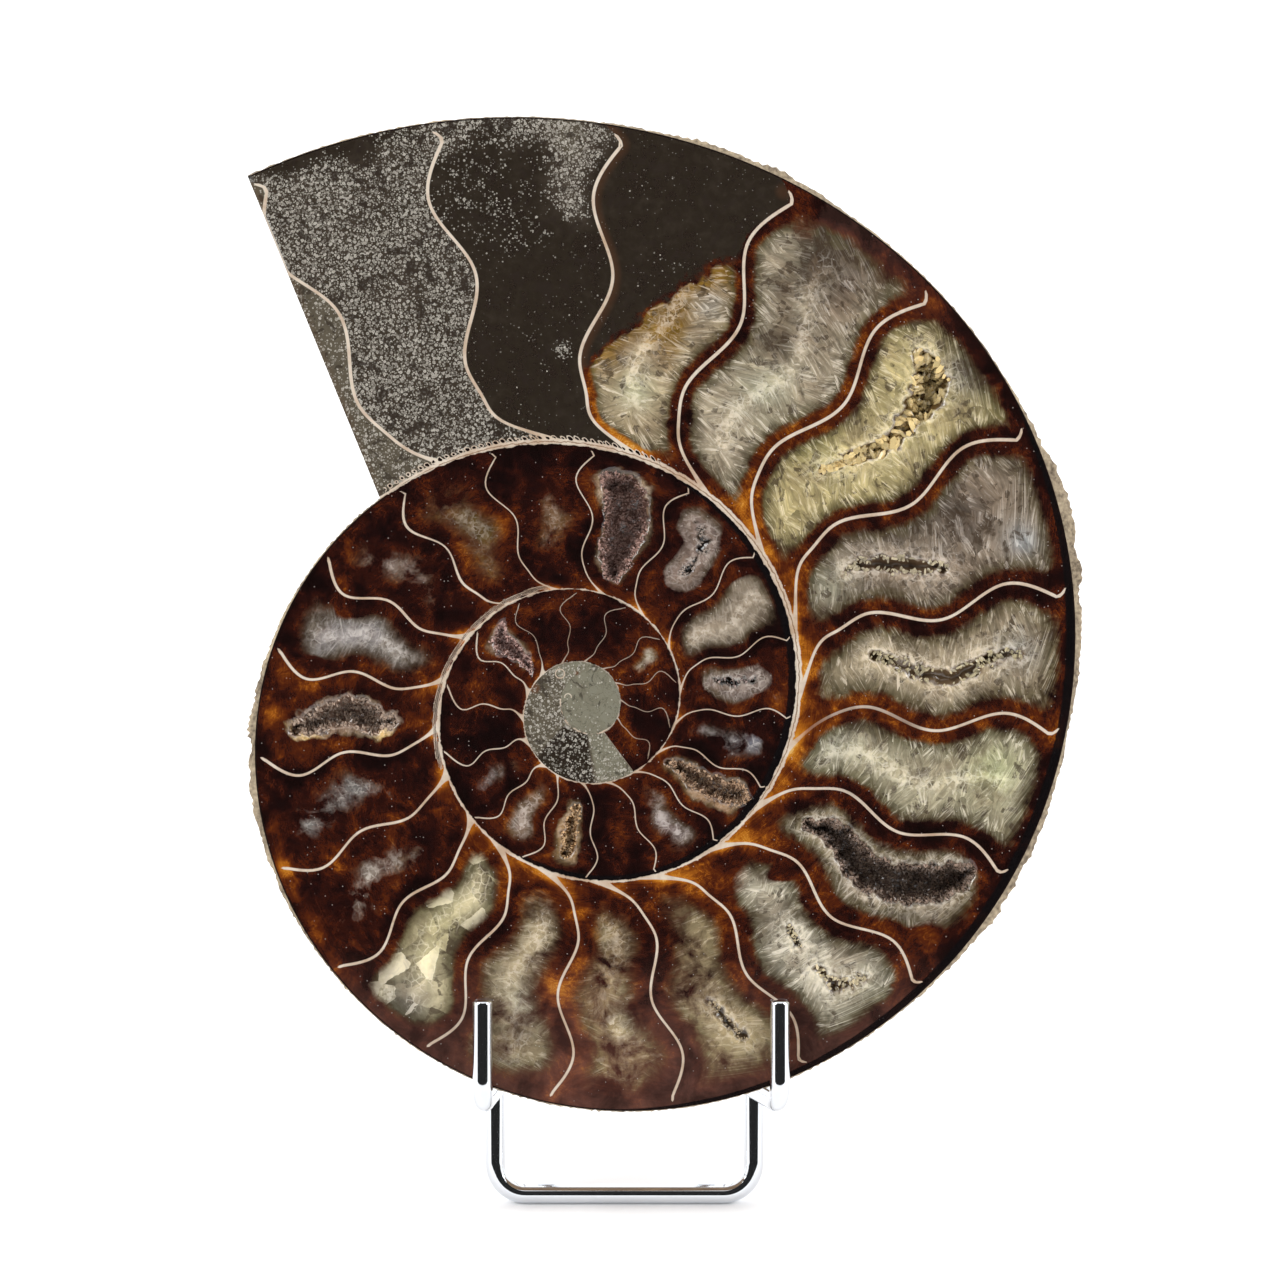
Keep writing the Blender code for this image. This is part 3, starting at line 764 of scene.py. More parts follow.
@dataclass(frozen=True)
class PolishedFace:
    """Polished cut through agatised ammonite: brown calcite rims, pale crystals, mud and cream septa.

    A diamond-polished face of calcite: dark clear brown along the walls, pale blades of crystal that
    grow out from them and whiten towards the middle, and a mirror gloss over all of it.
    """

    septum: str = "DED0BE"
    roughness: float = 0.08
    ior: float = 1.58

    def fields(self, n: Shade) -> Fields:
        """Reads what each point is made of, and makes the patterns that the finishes share.

        Args:
            n: The material.

        Returns:
            Each value and pattern by its name.
        """
        found: Fields = {}
        for source, parts in (
            ("growth", ("out", "crystals", "white")),
            ("heart", ("heart", "block", "ash_and_painted_veil")),
            ("limits", ("septum", "wall", "skin")),
            ("extra", ("bead", "black", "pale")),
        ):
            found.update(zip(parts, n.add(Step.SPLIT, n.add(Step.VECTOR, attribute_name=source))))
        found.update(zip(("mud", "gold", "ember"), n.add(Step.DICE, n.add(Step.COLOUR, attribute_name="matter"))))
        found["speckle"] = n.add(Step.ALPHA, attribute_name="matter")
        found["tint"] = n.add(Step.COLOUR, attribute_name="tint")
        found["place"] = n.add(Step.PLACE)

        # Clouds about 5, 2.3 and 1.3 mm across, and lace.
        for name, scale, detail, twist in (
            ("cloud", 190.0, 5.0, 0.4), ("pool", 430.0, 3.0, 0.8), ("lace", 520.0, 6.0, 1.4), ("grain", 760.0, 4.0, 0.4)
        ):
            noise = n.add(Step.NOISE, found["place"], scale, detail, 0.62, twist)
            found[name] = noise["Fac"]
        bend = noise["Color"]
        jagged = n.add(Step.STRETCH, bend, (0.0007, 0.0007, 0.0007), found["place"])

        # Bundles of crystal about 2.4 mm wide fan out from the walls, each its own way. They are made of blades
        # about 1 mm wide, feathers and fine needles.
        sides = []
        for source in ("from_septa", "from_wall"):
            vector = n.add(Step.VECTOR, attribute_name=source)
            along, deep, _ = n.add(Step.SPLIT, vector)
            sheaf = n.add(Step.STRETCH, n.add(Step.STRETCH, bend, (0.9, 1.6, 0.0), vector), (0.42, 0.2, 0.3))
            lean, shift, chance = n.add(Step.DICE, n.add(Step.CELLS, sheaf, 1.0)["Color"])
            fan = n.add(Step.SUM, n.add(Step.SUM, lean, 1.5, -0.75), deep, along)
            apart = n.add(Step.SUM, shift, 60.0, fan)
            vector = add_node(n.tree, "ShaderNodeCombineXYZ", {0: apart, 1: deep, 2: chance}).outputs[0]
            made = {"deep": deep, "bundle": chance}
            for name, factors in (("feather", (0.9, 0.2, 1.0)), ("needle", (3.0, 0.4, 2.0))):
                made[name] = n.add(Step.NOISE, n.add(Step.STRETCH, vector, factors), 1.0, 3.0, 0.6, 0.5)["Fac"]
            for name, factors in (("wide_blade", (1.2, 0.4, 0.6)), ("thin_blade", (3.9, 0.42, 1.1))):
                made[name] = n.add(Step.DICE, n.add(Step.CELLS, n.add(Step.STRETCH, vector, factors), 1.0)["Color"])[0]
            sides.append(made)
        first, second = sides
        side = n.add(Step.SPREAD, n.add(Step.MINUS, first.pop("deep"), second.pop("deep")), -0.3, 0.3)
        found.update({name: n.add(Step.BLEND, side, first[name], second[name]) for name in first})

        # Angular grains, larger in the blocky chamber, and white dust.
        found["sugar"], found["sugar_tone"], _ = n.add(
            Step.DICE, n.add(Step.CELLS, jagged, n.add(Step.SPREAD, found["block"], 0.0, 1.0, 1080.0, 300.0))["Color"]
        )
        crack = n.add(Step.CELLS, jagged, 850.0, feature="DISTANCE_TO_EDGE")
        found["edge"] = n.add(Step.SPREAD, crack["Distance"], 0.1, 0.03)
        found["fine"] = n.add(Step.DICE, n.add(Step.CELLS, jagged, 2500.0)["Color"])[0]
        speck = n.add(Step.CELLS, found["place"], 1900.0)
        often = n.add(Step.SPREAD, found["mud"], 0.4, 0.6, 0.88, 0.74)
        few = n.add(Step.OVER, n.add(Step.DICE, speck["Color"])[0], often)
        found["dust"] = n.add(Step.TIMES, few, n.add(Step.SPREAD, speck["Distance"], 0.18, 0.1, 0.0, 0.5))
        return found

    def brown(self, n: Shade, f: Fields, out: Socket, lace: Socket) -> Socket:
        """Brown calcite: near black at the walls, red brown to orange where it thins out, with golden wisps.

        Args:
            n: The material.
            f: The shared values and patterns.
            out: How far out from the walls a point is, in rim widths.
            lace: Fine lines.

        Returns:
            The colour.
        """
        warm = n.add(Step.SUM, f["ember"], 0.6, n.add(Step.SPREAD, out, 0.3, 1.1, 0.0, 0.16))
        rich = n.add(Step.SUM, f["pool"], 0.3, n.add(Step.SUM, f["cloud"], 1.0, warm))
        fibrous = n.add(Step.SUM, f["needle"], 0.34, rich)
        wisps = n.add(Step.TIMES, lace, n.add(Step.SPREAD, f["cloud"], 0.46, 0.6, 0.0, 0.18))
        wispy = n.add(Step.SUM, wisps, 1.0, fibrous)
        honey = n.add(Step.MINUS, n.add(Step.SUM, f["gold"], 0.75, wispy), 0.785)
        stops = (
            (0.0, "120706"), (0.14, "1E0B09"), (0.27, "34140C"), (0.42, "50220E"),
            (0.56, "783C12"), (0.72, "AC641A"), (0.88, "CA882E"), (1.0, "DEB26A"),
        )  # fmt: skip
        return n.add(Step.RAMP, honey, stops=stops)

    def calcite(self, n: Shade, f: Fields) -> Socket:
        """Colours the calcite, from the brown rims to the pale middles.

        Args:
            n: The material.
            f: The shared values and patterns.

        Returns:
            The colour.
        """
        # firm is 0 in hazy chambers and 1 in clear ones, and blocks is 1 where the crystals are blocks.
        firm = n.add(Step.SPREAD, f["block"], -1.0, 0.0)
        blocks = n.add(Step.MOST, f["block"], 0.0)
        held = n.add(Step.SUM, firm, 0.75, 0.25)
        strokes = n.add(Step.TIMES, n.add(Step.MINUS, 1.0, blocks), held)
        combed = n.add(Step.TIMES, n.add(Step.MINUS, f["feather"], 0.5), strokes)
        comb = n.add(Step.SUM, combed, 0.4, n.add(Step.SUM, f["cloud"], 1.1, f["out"]))
        ragged = n.add(Step.SUM, n.add(Step.MINUS, f["pool"], 0.5), 0.9, comb)
        out = n.add(Step.MINUS, n.add(Step.SUM, f["needle"], 0.14, ragged), 0.61)
        lace = n.add(Step.SPREAD, n.add(Step.SIZE, n.add(Step.MINUS, f["lace"], 0.5)), 0.028, 0.0)
        brown = self.brown(n, f, out, lace)

        # Pale crystals: olive and clear near the rim, then bladed, then angular and white round the heart.
        near = n.add(Step.SPREAD, f["heart"], 0.2, 3.0, 1.0, 0.0)
        teeth = n.add(Step.SPREAD, n.add(Step.SUM, f["grain"], 1.6, f["heart"]), 1.2, 2.1, 1.0, 0.0)
        blocky = n.add(Step.MOST, n.add(Step.SPREAD, f["heart"], 0.4, 2.0, 0.85, 0.1), f["block"])
        blade = n.add(Step.SUM, n.add(Step.MINUS, f["wide_blade"], f["thin_blade"]), 0.5, f["thin_blade"])
        coarse = n.add(Step.SUM, blocks, 0.28, 0.62)
        angular = n.add(Step.SUM, n.add(Step.MINUS, f["sugar"], f["fine"]), coarse, f["fine"])
        facet = n.add(Step.BLEND, blocky, blade, angular)
        sharp = n.add(Step.TIMES, firm, n.add(Step.SUM, blocky, n.add(Step.SUM, blocks, -0.4, 0.5), 0.85))
        patchy = n.add(
            Step.TIMES, n.add(Step.SPREAD, f["pool"], 0.4, 0.58, 0.4, 1.2), n.add(Step.SPREAD, out, 1.1, 2.0, 0.15, 1.0)
        )
        crisp = n.add(Step.TIMES, sharp, n.add(Step.MOST, patchy, blocks))
        plain = n.add(Step.SUM, n.add(Step.MINUS, facet, 0.5), crisp, 1.0)
        grouped = n.add(Step.SUM, n.add(Step.TIMES, n.add(Step.MINUS, f["bundle"], 0.5), strokes), 0.34, 1.0)
        tone = n.add(Step.TIMES, grouped, n.add(Step.SUM, teeth, 0.34, n.add(Step.SPREAD, out, 1.0, 2.5, 0.28, 0.74)))
        bright = n.add(Step.TIMES, n.add(Step.TIMES, tone, plain), n.add(Step.SUM, combed, 1.5, 1.0))
        olive = n.add(Step.MIX, n.add(Step.SPREAD, out, 1.0, 2.0, 0.85, 0.0), f["tint"], "7A6E40")
        tinted = n.add(Step.MIX, n.add(Step.SPREAD, f["cloud"], 0.36, 0.56, 0.5, 0.0), olive, "7C6650")
        clear = n.add(Step.BRIGHTEN, tinted, bright)

        # Smoky depths between them.
        mosaic = n.add(Step.SUM, n.add(Step.MINUS, f["sugar_tone"], 0.5), 0.3, f["pool"])
        murky = n.add(Step.SUM, n.add(Step.MINUS, 0.45, f["white"]), 0.34, mosaic)
        depth = n.add(Step.TIMES, n.add(Step.SPREAD, murky, 0.56, 0.66, 0.0, 0.75), held)
        smoke = n.add(Step.TIMES, depth, n.add(Step.SPREAD, teeth, 0.0, 1.0, 1.0, 0.4))
        smoky = n.add(Step.MIX, smoke, clear, "43362A")

        # White: gathered blades and needles, lines of frost, and sugar round the heart.
        clouded = n.add(Step.SPREAD, f["cloud"], 0.44, 0.54, 0.15, 1.0)
        gathered = n.add(Step.TIMES, n.add(Step.SPREAD, f["feather"], 0.44, 0.58), clouded)
        spike = n.add(Step.TIMES, n.add(Step.SPREAD, f["thin_blade"], 0.7, 0.82, 0.0, 0.9), gathered)
        feathered = n.add(Step.SPREAD, f["feather"], 0.42, 0.6, 0.1, 1.0)
        thin = n.add(Step.TIMES, n.add(Step.SPREAD, f["needle"], 0.55, 0.64, 0.0, 0.8), feathered)
        bristle = n.add(Step.TIMES, n.add(Step.MOST, spike, thin), strokes)
        facets = n.add(Step.SUM, f["edge"], 0.8, n.add(Step.TIMES, lace, 0.4))
        frost = n.add(Step.TIMES, n.add(Step.TIMES, facets, near), n.add(Step.SPREAD, f["pool"], 0.42, 0.54, 0.0, 0.9))
        grown = n.add(Step.MOST, n.add(Step.MOST, teeth, n.add(Step.TIMES, near, 0.5)), blocks)
        sugary = n.add(
            Step.TIMES, grown, n.add(Step.SPREAD, angular, n.add(Step.SUM, blocks, 0.2, 0.5), 0.8, 0.0, 0.85)
        )
        bright_parts = n.add(Step.MOST, bristle, n.add(Step.MOST, sugary, frost))
        kept = n.add(Step.TIMES, bright_parts, n.add(Step.SPREAD, f["white"], 0.0, 0.6, 0.2, 0.92))
        milky = n.add(Step.MOST, kept, n.add(Step.TIMES, frost, n.add(Step.SPREAD, f["white"], 0.1, -0.1, 0.0, 0.9)))
        white = n.add(Step.TIMES, milky, n.add(Step.SPREAD, out, 1.0, 1.8, 0.15, 1.0))
        crystal = n.add(Step.MIX, white, smoky, n.add(Step.MIX, 0.5, "E6DFD4", n.add(Step.BRIGHTEN, f["tint"], 1.5)))

        # The crystals fade in past the rim, torn where the chamber is hazy.
        torn = n.add(Step.TIMES, n.add(Step.MINUS, f["cloud"], 0.5), n.add(Step.SUM, firm, -1.6, 2.6))
        shown = n.add(Step.SPREAD, n.add(Step.PLUS, torn, f["crystals"]), 0.2, 0.65)
        amount = n.add(Step.TIMES, n.add(Step.SPREAD, out, 0.85, n.add(Step.SUM, firm, -0.9, 2.25)), shown)
        # A grey-mauve mist over the brown: partly the stone's own ash, and towards the bottom of the face a painted
        # veil, a painted reflection of the pale floor.
        mist_and_painted_veil = n.add(Step.TIMES, f["ash_and_painted_veil"], n.add(Step.SPREAD, f["cloud"], 0.36, 0.62, 0.4, 1.25))
        stone = n.add(Step.MIX, amount, n.add(Step.MIX, mist_and_painted_veil, brown, "7A554A"), crystal)
        sunk = n.add(Step.MIX, n.add(Step.SPREAD, f["heart"], -0.1, -0.4), stone, f["tint"])
        return n.add(Step.MIX, f["dust"], sunk, "D8D2CA")

    def mudstone(self, n: Shade, f: Fields) -> Socket:
        """Colours the hardened mud: dark, with pale-ringed grains about half a millimetre across.

        Args:
            n: The material.
            f: The shared values and patterns.

        Returns:
            The colour.
        """
        shade = n.add(Step.TIMES, n.add(Step.SUM, f["cloud"], 0.35, n.add(Step.SUM, f["grain"], 0.3, f["ash_and_painted_veil"])), 0.6)
        stops = (
            (0.05, "261A19"), (0.2, "2C251D"), (0.4, "483F36"), (0.68, "6B6454"), (0.8, "817E6D"), (0.92, "8A897B"),
        )  # fmt: skip
        ground = n.add(Step.RAMP, shade, stops=stops)
        squiggle = n.add(
            Step.TIMES, n.add(Step.BESIDE, f["lace"], 0.5, 0.012), n.add(Step.SPREAD, f["ash_and_painted_veil"], 0.3, 0.7, 0.0, 0.5)
        )
        blotch = n.add(Step.SPREAD, f["pool"], 0.57, 0.61, 0.0, 0.6)
        rust = n.add(Step.SPREAD, f["ember"], 0.4, 0.8, 0.0, 0.8)
        dust = n.add(Step.TIMES, f["dust"], n.add(Step.SPREAD, f["ash_and_painted_veil"], 0.3, 0.1, 0.0, 0.8))
        for amount, colour in ((squiggle, "463E34"), (blotch, "2E2621"), (rust, "63402A"), (dust, "B4AEA4")):
            ground = n.add(Step.MIX, amount, ground, colour)
        patchy = n.add(Step.SUM, f["cloud"], 1.1, f["pool"])
        spots = []
        for scale, limit in ((1750.0, 0.72), (3300.0, 0.9)):
            cell = n.add(Step.CELLS, f["place"], scale)
            chance, pale, _ = n.add(Step.DICE, cell["Color"])
            rest = n.add(Step.SUM, f["speckle"], -1.6, n.add(Step.PLUS, patchy, chance))
            rim = n.add(Step.SPREAD, cell["Distance"], 0.46, 0.36)
            ring = n.add(Step.TIMES, rim, n.add(Step.SPREAD, cell["Distance"], 0.0, 0.32, 0.35, 1.0))
            seen = n.add(Step.TIMES, ring, n.add(Step.SPREAD, rest, limit, limit - 0.08))
            spots.append(n.add(Step.TIMES, seen, n.add(Step.SPREAD, pale, 0.0, 1.0, 0.15, 1.0)))
        shown = n.add(Step.TIMES, n.add(Step.MOST, *spots), n.add(Step.SUM, blotch, -1.5, 1.0))
        return n.add(Step.MIX, shown, ground, "C4BEB2")

    def shell(self, n: Shade, f: Fields, filling: Socket) -> Socket:
        """Draws the septa, the whorl walls, their beads and the dark skin of the rim over the filling.

        Args:
            n: The material.
            f: The shared values and patterns.
            filling: The colour of what fills the chambers.

        Returns:
            The colour.
        """
        banded = n.add(Step.MIX, n.add(Step.SPREAD, f["black"], 0.1, -0.1, 0.0, 0.92), filling, "0E0C0D")
        line = n.add(Step.SPREAD, f["septum"], 0.04, -0.04)
        rough = n.add(Step.SUM, f["grain"], 0.8, f["wall"])
        wall = n.add(Step.SPREAD, rough, 0.45, 0.36)

        # A row of tiny chambers, each a dark hole in a cream ring, sits on the inner wall; the dark in each hole is
        # painted shade.
        along = n.add(Step.FOLD, n.add(Step.SPLIT, n.add(Step.VECTOR, attribute_name="from_wall"))[0], 0.52)
        radius = n.add(Step.ROOT, n.add(Step.SUM, along, along, n.add(Step.TIMES, f["bead"], f["bead"])))
        lumpy = n.add(Step.SUM, f["grain"], 0.9, radius)
        ring = n.add(Step.SPREAD, lumpy, 0.86, 0.8, 0.0, 0.9)

        solid = n.add(Step.TIMES, n.add(Step.MOST, n.add(Step.MOST, line, wall), ring), f["pale"])
        cream = n.add(Step.MIX, n.add(Step.SPREAD, f["cloud"], 0.35, 0.6), "BFA58C", self.septum)
        seam = n.add(Step.TIMES, n.add(Step.BESIDE, rough, -0.05, 0.09), 0.75)
        drawn = n.add(Step.MIX, solid, banded, n.add(Step.MIX, seam, cream, "7E5A3C"))
        # Painted shade: the dark middle of each tiny chamber's hole.
        pitted_with_painted_shade = n.add(Step.MIX, n.add(Step.SPREAD, lumpy, 0.7, 0.64), drawn, "1C100C")
        return n.add(Step.MIX, n.add(Step.SPREAD, f["skin"], 0.1, 0.0, 0.0, 0.9), pitted_with_painted_shade, "1A1210")

    def build(self) -> Material:
        """Makes the material."""
        n = Shade("agatised_ammonite_diamond_polished")
        f = self.fields(n)
        muddy = n.add(Step.SPREAD, n.add(Step.SUM, f["grain"], 0.5, f["mud"]), 0.66, 0.8)
        filling = n.add(Step.MIX, muddy, self.calcite(n, f), self.mudstone(n, f))
        return n.set(Base_Color=self.shell(n, f, filling), Roughness=self.roughness, IOR=self.ior)


@dataclass(frozen=True)
class RoughRock:
    """Unworked shell and rock round the rim and on the back: dull, grainy tan to grey, with painted shade in the
    furrows and seams.
    """

    name: str
    dark: str
    pale: str
    roughness: float = 0.85
    # The colour of the painted shade in the back's furrows and seams.
    furrow: str = "3E2C22"
    patch_mm: float = 5.0
    grain_mm: float = 0.6

    def build(self) -> Material:
        """Makes the material."""
        n = Shade(self.name)
        place = n.add(Step.PLACE)
        patch = n.add(Step.NOISE, place, 1000 / self.patch_mm, 5.0, 0.65)["Fac"]
        both = n.add(Step.PLUS, patch, n.add(Step.NOISE, place, 1000 / self.grain_mm, 3.0)["Fac"])
        rubbed = n.add(Step.MIX, n.add(Step.SPREAD, both, 0.75, 1.25), self.dark, self.pale)
        # Painted shade: darker in the furrows between ribs and in the whorls' seams.
        furrow_shade_amount = n.add(Step.TIMES, n.add(Step.FACTOR, attribute_name="furrow"), 0.8)
        colour = n.add(Step.MIX, furrow_shade_amount, rubbed, self.furrow)
        bump = add_node(n.tree, "ShaderNodeBump", {"Height": both, "Strength": 0.5, "Distance": 0.0003})
        return n.set(Base_Color=colour, Normal=bump.outputs[0], Roughness=self.roughness)


@dataclass(frozen=True)
class Druse:
    """Small calcite crystals that line a hollow: glassy faces, partly clear, tinted by what they grew on."""

    name: str
    colour: str
    transmission: float = 0.25
    roughness: float = 0.22
    ior: float = 1.58

    def build(self) -> Material:
        """Makes the material."""
        n = Shade(f"calcite_druse_{self.name}")
        # The colour is scaled by each crystal's shade value: painted shade deep in the hollow, painted light at its
        # edge, times a random tone.
        colour = n.add(Step.BRIGHTEN, linear(self.colour)[:3], n.add(Step.FACTOR, attribute_name="shade"))
        return n.set(
            Base_Color=colour, Roughness=self.roughness, IOR=self.ior, Transmission_Weight=self.transmission
        )


@dataclass(frozen=True)
class ChromeWire:
    """Bright chrome plate on drawn steel wire: a mirror, faintly blue, with almost no blur."""

    colour: str = "DDE0E4"
    roughness: float = 0.05

    def build(self) -> Material:
        """Makes the material."""
        n = Shade("chrome_plated_steel_wire")
        return n.set(Base_Color=linear(self.colour), Metallic=1.0, Roughness=self.roughness)


# Turns in degrees at which the first three chambers' mud, the outer whorl and the second whorl end.
MUD_END = 66.0
OUTER_WHORL = 357.0
SECOND_WHORL = 715.0

# Chambers whose crystals are blurred, and the one where they are blocks.
SOFT_CHAMBERS = (11, 12, 13, 18)
BLOCKY_CHAMBER = 14


def note(mesh: Mesh, name: str, *columns: Array | float) -> None:
    """Writes a number, a vector or a colour on each point, from one, three or four columns."""
    kind, slot = {1: ("FLOAT", "value"), 3: ("FLOAT_VECTOR", "vector"), 4: ("FLOAT_COLOR", "color")}[len(columns)]
    rows = np.zeros((len(mesh.vertices), len(columns)), np.float32)
    for number, column in enumerate(columns):
        rows[:, number] = column
    mesh.attributes.new(name, kind, "POINT").data.foreach_set(slot, rows.ravel())


@dataclass(frozen=True)
class Bank:
    """A run of neighbouring chambers that is built as one closed piece of stone.

    Attributes:
        name: The piece's name.
        first: Number of the first chamber, counted from the aperture inwards.
        last: Number of the chamber after the last.
        across: Columns of faces in each chamber.
        rows: Rows of faces from the inner wall to the outer.
        rim: Whether the rough rim is outside it.
    """

    name: str
    first: int
    last: int
    across: int
    rows: int
    rim: bool


@dataclass
class Points:
    """Where the points of one slab lie.

    Attributes:
        chamber: Number of the chamber.
        turn: Turn in degrees.
        share: Share of the whorl's width.
        radius: Distance in mm from the spiral's middle.
        sides: Distance from the septum before and the septum after.
        dorsal: Distance from the inner wall.
        ventral: Distance from the outer wall.
        right: Right on the face.
        up: Up the face.
    """

    chamber: Array
    turn: Array
    share: Array
    radius: Array
    sides: Array
    dorsal: Array
    ventral: Array
    right: Array
    up: Array

    @property
    def nearest_side(self) -> Array:
        """Distance in mm from the nearer septum."""
        return np.maximum(self.sides.min(axis=1), 0)

    def near(self, right: float, up: float, size: float) -> Array:
        """1 at one place on the face, and less away from it, within about this many mm."""
        return np.exp(-((self.right - right) ** 2 + (self.up - up) ** 2) / size**2)

    def by_whorl(self, outer: Array | float, second: Array | float, inner: Array | float) -> Array:
        """One value on the outer whorl, one on the second, and one further in."""
        return np.select((self.turn < OUTER_WHORL, self.turn < SECOND_WHORL), (outer, second), inner)


@dataclass(frozen=True)
class Patches:
    """Places where one chamber's filling differs from the rest of it.

    Attributes:
        clouds: Right, up and radius in mm of each soft cloud, then what it adds of crystals, white and
            ember, and how much it darkens the crystals.
        tinges: Right, up and radius in mm of each soft tinge, and its colour.
    """

    clouds: tuple[tuple[float, float, float, float, float, float, float], ...] = (
        # Second whorl, from the upper left clockwise.
        (-15.5, 24.0, 4.5, 0.2, 0.0, 0.22, 0.3), (-17.0, 27.5, 2.5, 0.3, 0.3, 0.2, 0.2),
        (-12.0, 27.0, 1.6, 0.35, 0.3, 0.3, 0.0), (-3.6, 28.0, 2.6, 0.5, 0.2, 0.25, 0.1),
        (-5.0, 32.0, 2.0, 0.4, 0.3, 0.2, 0.0), (-6.5, 24.6, 1.3, 0.4, 0.6, 0.0, 0.1),
        (22.5, -5.2, 2.6, 0.5, 0.6, 0.0, 0.35), (19.0, -3.9, 1.6, 0.5, 0.6, 0.0, 0.3),
        (26.2, -6.2, 1.5, 0.45, 0.6, 0.0, 0.3), (12.6, -16.6, 1.9, 0.6, 0.5, 0.1, 0.0),
        (15.4, -19.2, 1.8, 0.6, 0.5, 0.1, 0.0), (12.8, -14.0, 1.3, 0.5, 0.5, 0.1, 0.0),
        (-8.8, -17.4, 2.4, 0.7, 0.5, 0.2, 0.0), (-7.6, -14.2, 1.4, 0.6, 0.5, 0.3, 0.0),
        (-12.4, -10.4, 1.9, 0.55, 0.5, 0.1, 0.2), (-9.6, -8.8, 1.4, 0.6, 0.5, 0.1, 0.1),
        (-14.6, -3.4, 1.4, 0.6, 0.4, 0.0, 0.1), (-12.0, 2.4, 1.8, 0.4, 0.2, 0.15, 0.2),
        (8.2, 6.6, 1.3, 1.0, 0.6, 0.2, 0.0), (10.4, 7.4, 1.0, 0.9, 0.5, 0.2, 0.0),
        # Outer whorl, upper right: grey to brown drusy patches among the crystals.
        (36.0, 66.5, 4.5, -0.2, -0.7, 0.1, 0.55), (29.0, 63.0, 2.0, -0.1, -0.5, 0.1, 0.4),
        (28.0, 54.0, 2.6, 0.0, -0.6, 0.0, 0.4), (33.0, 72.0, 4.0, -0.6, -0.5, 0.15, 0.2),
        (45.0, 64.5, 3.0, -0.5, -0.3, 0.15, 0.2), (30.0, 77.0, 2.0, -0.6, 0.0, 0.35, 0.0),
        (53.0, 60.0, 2.2, -0.4, 0.0, 0.4, 0.0), (31.0, 57.0, 4.5, 0.0, -0.2, 0.0, 0.3),
        (58.5, 49.0, 5.0, 0.0, 0.0, 0.0, 0.3), (57.0, 28.0, 6.5, 0.0, -0.2, 0.0, 0.26),
        (47.0, 26.5, 5.0, 0.0, -0.2, 0.0, 0.4), (43.0, 15.5, 4.5, -0.1, -0.2, 0.1, 0.3),
        (64.0, 9.0, 5.0, 0.0, 0.0, 0.0, 0.3), (61.0, -10.5, 3.6, 0.1, 0.3, 0.0, -0.15),
        (52.0, -36.0, 5.0, -0.4, -0.2, 0.1, 0.3), (24.0, -25.6, 3.2, -0.5, 0.1, 0.1, 0.0),
        (-24.0, -36.0, 8.0, 0.0, 0.0, 0.0, -0.12),
        # Outer whorl, lower left.
        (5.0, -36.0, 3.2, 0.4, 0.1, 0.1, 0.0), (9.0, -33.5, 3.0, 0.3, 0.1, 0.1, 0.0),
        (5.6, -48.0, 1.8, 0.5, 0.6, 0.0, -0.1), (-5.6, -34.4, 2.8, 0.5, 0.4, 0.0, -0.1),
        (-11.0, -41.0, 3.2, 0.4, 0.1, 0.0, 0.0), (-7.6, -51.0, 3.0, 0.45, 0.4, 0.0, 0.0),
        (18.4, -32.8, 2.8, 0.45, 0.1, 0.1, 0.0), (19.6, -39.0, 2.6, 0.3, 0.0, 0.0, 0.0),
        (22.6, -47.4, 3.6, 0.6, 0.5, 0.0, -0.1), (-37.5, -15.6, 2.4, 0.42, 0.5, 0.0, 0.2),
        (-34.0, -12.2, 2.4, 0.38, 0.3, 0.0, 0.3), (-41.5, -18.2, 2.2, 0.38, 0.3, 0.0, 0.3),
        (-24.0, -22.4, 2.0, 0.42, 0.4, 0.0, 0.2), (-28.0, -23.4, 2.2, 0.45, 0.3, 0.1, 0.2),
        (-32.0, -24.8, 2.0, 0.5, 0.5, 0.0, 0.1), (-34.0, -29.6, 2.4, 0.4, 0.3, 0.0, 0.3),
        (-36.0, -33.4, 2.4, 0.38, 0.2, 0.1, 0.3), (-41.5, -5.6, 1.8, 0.5, 0.4, 0.2, -0.2),
        (-29.6, -5.2, 1.5, 0.5, 0.4, 0.2, -0.2), (-47.4, -2.0, 3.0, 0.0, 0.0, 0.4, 0.0),
        (-4.6, -42.6, 2.6, 0.0, 0.0, 0.4, 0.0),
    )

    tinges: tuple[tuple[float, float, float, str], ...] = (
        (34.6, 66.0, 2.5, "42362E"), (39.4, 62.4, 1.8, "4E4036"), (30.4, 62.2, 1.5, "5A4A3C"),
        (36.8, 70.8, 1.8, "544640"), (30.0, 53.6, 1.6, "5E4E3E"), (18.4, 61.7, 4.0, "B4B4B0"),
        (8.0, 47.0, 3.0, "C8C4A0"), (27.0, 47.0, 5.0, "B2AE92"),
        (38.0, 60.0, 4.0, "8C7A68"), (43.0, 68.0, 5.0, "725A5A"), (58.0, 50.0, 4.0, "A6A294"),
        (34.0, 38.0, 4.0, "C4B87C"), (57.0, 28.0, 6.0, "807268"), (66.0, 24.5, 2.5, "B8BEC0"),
        (37.0, 18.0, 4.0, "B4B096"), (66.0, 8.0, 3.5, "A6A296"), (61.5, -10.0, 4.0, "B4B886"),
        (38.0, -5.0, 4.0, "AEAA92"), (60.0, -32.0, 4.0, "A08850"), (28.0, -22.0, 4.0, "ACA684"),
        (42.0, -44.0, 4.0, "BCB69A"), (-22.0, -33.0, 5.0, "D2C896"), (-27.0, -45.0, 4.0, "B2AEA4"),
        (-41.5, -5.6, 2.2, "E8BE6A"), (-29.6, -5.2, 1.8, "E8C070"), (-44.0, -4.0, 1.4, "D8B472"),
        (9.0, -46.0, 5.0, "A89E82"), (-8.0, -45.0, 4.0, "A8A28C"),
    )

